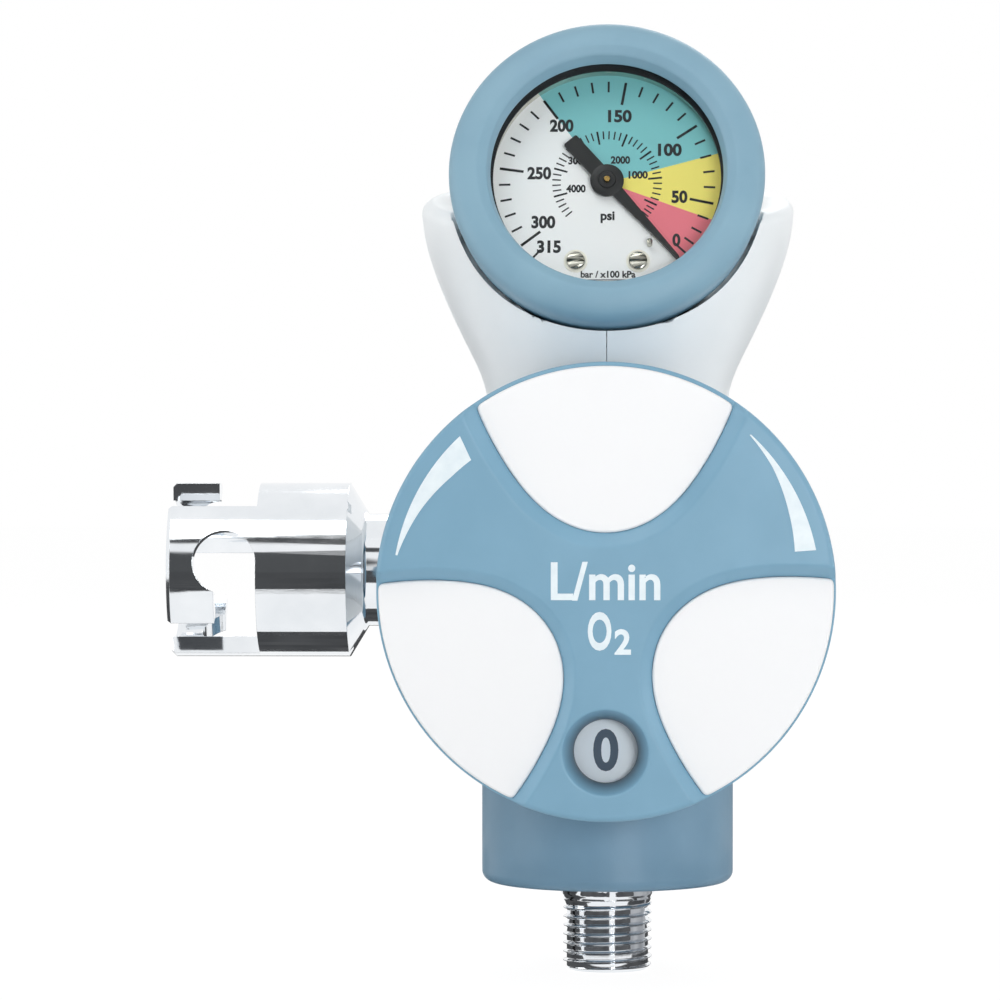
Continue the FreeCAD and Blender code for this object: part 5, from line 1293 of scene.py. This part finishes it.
@dataclass
class Works:
    """Pieces that stay CAD solids, each with its finish."""

    finishes: tuple[tuple[Finish, tuple[str, ...]], ...] = (
        (CHROME, ("body_block", "inlet_stem", "relief_cap")),
        (BRASS, ("gauge_socket", "movement_back_plate", "movement_front_plate", "movement_pillars",
                 "sector_gear", "gauge_link", "bourdon_tube", "pointer_spindle", "gallery_plug")),
        (STEEL, ("poppet_spring", "piston_spring", "outlet_screws", "skirt_screws", "shell_screws",
                 "detent_ball", "detent_spring", "quick_spring", "relief_spring", "selector_screws",
                 "selector_shaft", "gauge_case", "spring_retainer", "valve_poppet", "quick_poppet")),
        (ALUMINIUM, ("piston", "selector_housing", "orifice_disc", "relief_poppet")),
        (SEAL, ("piston_o_ring", "outlet_o_ring", "bullnose_o_ring", "selector_seal", "shaft_o_ring",
                "socket_seal")),
        (BEARING, ("thrust_washer", "valve_seat", "inlet_filter")))

    def build(self, shop: Workshop) -> None:
        """Gives every solid that stays its finish."""
        for finish, nodes in self.finishes:
            for node in nodes:
                shop.keep(node, finish)


@dataclass
class Studio:
    """Pale floor, soft lamps, white surroundings and the camera."""

    floor_height: float = -62.3
    camera_at: tuple[float, float, float] = (0.005, -0.792, 0.026)
    aim: tuple[float, float, float] = (-0.016, -0.102, 0.014)
    lens: float = 164.0
    surroundings: float = 0.48
    room_shade: float = 0.09
    card_shade: float = 0.075
    low_cards: tuple[tuple[str, float, float], ...] = (
        ("front_card", -3.0, -0.19), ("under_card", -0.068, -0.008), ("rear_card", 0.12, 0.9))
    collar_radius: float = 25.0
    collar: tuple[tuple[float, float, float], ...] = (
        (-103.0, -93.0, 0.01), (-61.0, 5.0, 0.09), (18.5, 61.0, 0.09), (61.0, 120.0, 0.4))
    lamp_aim: tuple[float, float, float] = (0.0, -0.06, 0.01)
    lamps: tuple[tuple[str, tuple[float, float, float], float, float], ...] = (
        ("key_lamp", (-0.3, -0.6, 0.9), 0.5, 2.3), ("front_lamp", (0.28, -0.95, 0.1), 0.25, 2.3),
        ("left_lamp", (-0.85, -0.25, 0.1), 0.5, 1.6), ("right_lamp", (0.85, -0.3, 0.1), 0.5, 1.3),
        ("rear_lamp", (0.2, 0.8, 0.8), 0.6, 3.0))

    def floor(self) -> None:
        """Broad pale floor that shows the object's shadow."""
        half = 3.0
        z = self.floor_height * MM - 0.0002
        mesh = bpy.data.meshes.new("studio_floor")
        mesh.from_pydata([(-half, -half, z), (half, -half, z), (half, half, z), (-half, half, z)], [],
                         [(0, 1, 2, 3)])
        thing = linked("studio_floor", mesh)
        material = bpy.data.materials.new("pale_floor")
        recipe = blank(material)
        cloud = recipe.noise(recipe.place(), 60.0, 2.0)
        colour = recipe.blend(cloud, (0.86, 0.86, 0.86, 1), (0.88, 0.88, 0.88, 1))
        matt = recipe.node("ShaderNodeBsdfDiffuse", None, {"Color": colour})
        glow = recipe.node("ShaderNodeEmission", None, {"Color": (1, 1, 1, 1), "Strength": 1.06})
        seen = self.seen(recipe)
        mixed = recipe.node("ShaderNodeMixShader", None, {0: seen * 0.9, 1: matt, 2: glow})
        recipe.node("ShaderNodeOutputMaterial", None, {"Surface": mixed})
        mesh.materials.append(material)

    def seen(self, recipe: Recipe) -> Value:
        """1 for rays from the camera and rays mirrored or passed on from it."""
        total = recipe.node("ShaderNodeLightPath", output="Is Camera Ray")
        for name in ("Is Glossy Ray", "Is Transmission Ray"):
            total = total.most(recipe.node("ShaderNodeLightPath", output=name))
        return total

    def world(self) -> None:
        """White all round, with a dark room in front for mirrored rays."""
        world = bpy.data.worlds.new("studio")
        bpy.context.scene.world = world
        recipe = blank(world)
        way = recipe.node("ShaderNodeTexCoord", output="Generated")
        aside, ahead, up = (recipe.node("ShaderNodeSeparateXYZ", None, {0: way}, axis) for axis in "XYZ")
        room = (0.0 - ahead).share(0.25, 0.4) * (1 - up.share(0.38, 0.44))
        room *= 1 - abs(aside - 0.2).share(0.17, 0.12)
        strip = (0.0 - ahead).share(0.1, 0.2) * (1 - abs(up - 0.66).share(0.05, 0.08))
        dark = room.most(strip) * recipe.node("ShaderNodeLightPath", output="Is Glossy Ray")
        white = recipe.node("ShaderNodeBackground", None, {
            "Color": (1, 1, 1, 1),
            "Strength": self.seen(recipe) * (1 - self.surroundings) + self.surroundings})
        black = recipe.node("ShaderNodeBackground", None, {
            "Color": (0.94, 0.97, 1.0, 1), "Strength": self.room_shade})
        mixed = recipe.node("ShaderNodeMixShader", None, {0: dark, 1: white, 2: black})
        recipe.node("ShaderNodeOutputWorld", None, {"Surface": mixed})

    def card(self, name: str, corners: Sequence[tuple[float, float, float]], shade: float) -> None:
        """Strip of dark card that only mirrored rays meet.

        Args:
            name: its name.
            corners: points along its lower edge and its upper edge in turn, in metres.
            shade: how bright it is.
        """
        mesh = bpy.data.meshes.new(name)
        mesh.from_pydata(corners, [], [(i, i + 2, i + 3, i + 1) for i in range(0, len(corners) - 2, 2)])
        thing = linked(name, mesh)
        thing.visible_camera = thing.visible_diffuse = False
        thing.visible_shadow = thing.visible_transmission = False
        material = bpy.data.materials.new(name)
        recipe = blank(material)
        cloud = recipe.noise(recipe.place(), 12.0, 2.0).share(0.3, 0.7)
        ends = [(shade * s, shade * (s + 0.02), shade * (s + 0.06), 1) for s in (0.7, 1.3)]
        colour = recipe.blend(cloud, *ends)
        dark = recipe.node("ShaderNodeEmission", None, {"Color": colour, "Strength": 1.0})
        recipe.node("ShaderNodeOutputMaterial", None, {"Surface": dark})
        mesh.materials.append(material)

    def cards(self) -> None:
        """Dark floor in front, behind and under the quick outlet, and a collar round the lower outlet."""
        low = self.floor_height * MM + 0.0005
        for name, near, far in self.low_cards:
            self.card(name, [(x, y, low) for x in (-1, 1) for y in (near, far)], self.card_shade)
        for index, (start, end, shade) in enumerate(self.collar, 1):
            points = [polar(self.collar_radius * MM, -90 + start + (end - start) * i / 16) for i in range(17)]
            corners = [(x, y - NUT_MIDDLE * MM, z) for x, y in points for z in (low, -0.044)]
            self.card(f"collar_{index}", corners, shade)

    def lamp(self, name: str, at: tuple[float, float, float], width: float, power: float) -> None:
        """Soft square lamp that looks at the object."""
        light = bpy.data.lights.new(name, "AREA")
        light.size = width
        light.energy = power
        thing = linked(name, light)
        thing.location = at
        thing.rotation_euler = (Vector(self.lamp_aim) - Vector(at)).to_track_quat("-Z", "Y").to_euler()

    def camera(self) -> None:
        """Camera at the photograph's angle."""
        lens = bpy.data.cameras.new("photograph")
        lens.lens = self.lens
        lens.sensor_width = 36.0
        lens.clip_start = 0.05
        lens.clip_end = 20.0
        thing = linked("photograph", lens)
        thing.location = self.camera_at
        thing.rotation_euler = (Vector(self.aim) - Vector(self.camera_at)).to_track_quat("-Z", "Y").to_euler()
        bpy.context.scene.camera = thing

    def build(self) -> None:
        """Sets the scene."""
        self.floor()
        self.world()
        self.cards()
        for lamp in self.lamps:
            self.lamp(*lamp)
        self.camera()
        bpy.context.scene.view_settings.view_transform = "Standard"


def main() -> None:
    """Builds the regulator's looks in order."""
    logging.basicConfig(level=logging.INFO, format="%(name)s %(message)s")
    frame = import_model()
    shop = Workshop(frame)
    Studio().build()
    for part in (Works(), Housings(), ThreadedEnds(), FlowDial(), FlowKnob(), Gauge()):
        part.build(shop)


if __name__ == "__main__":
    main()
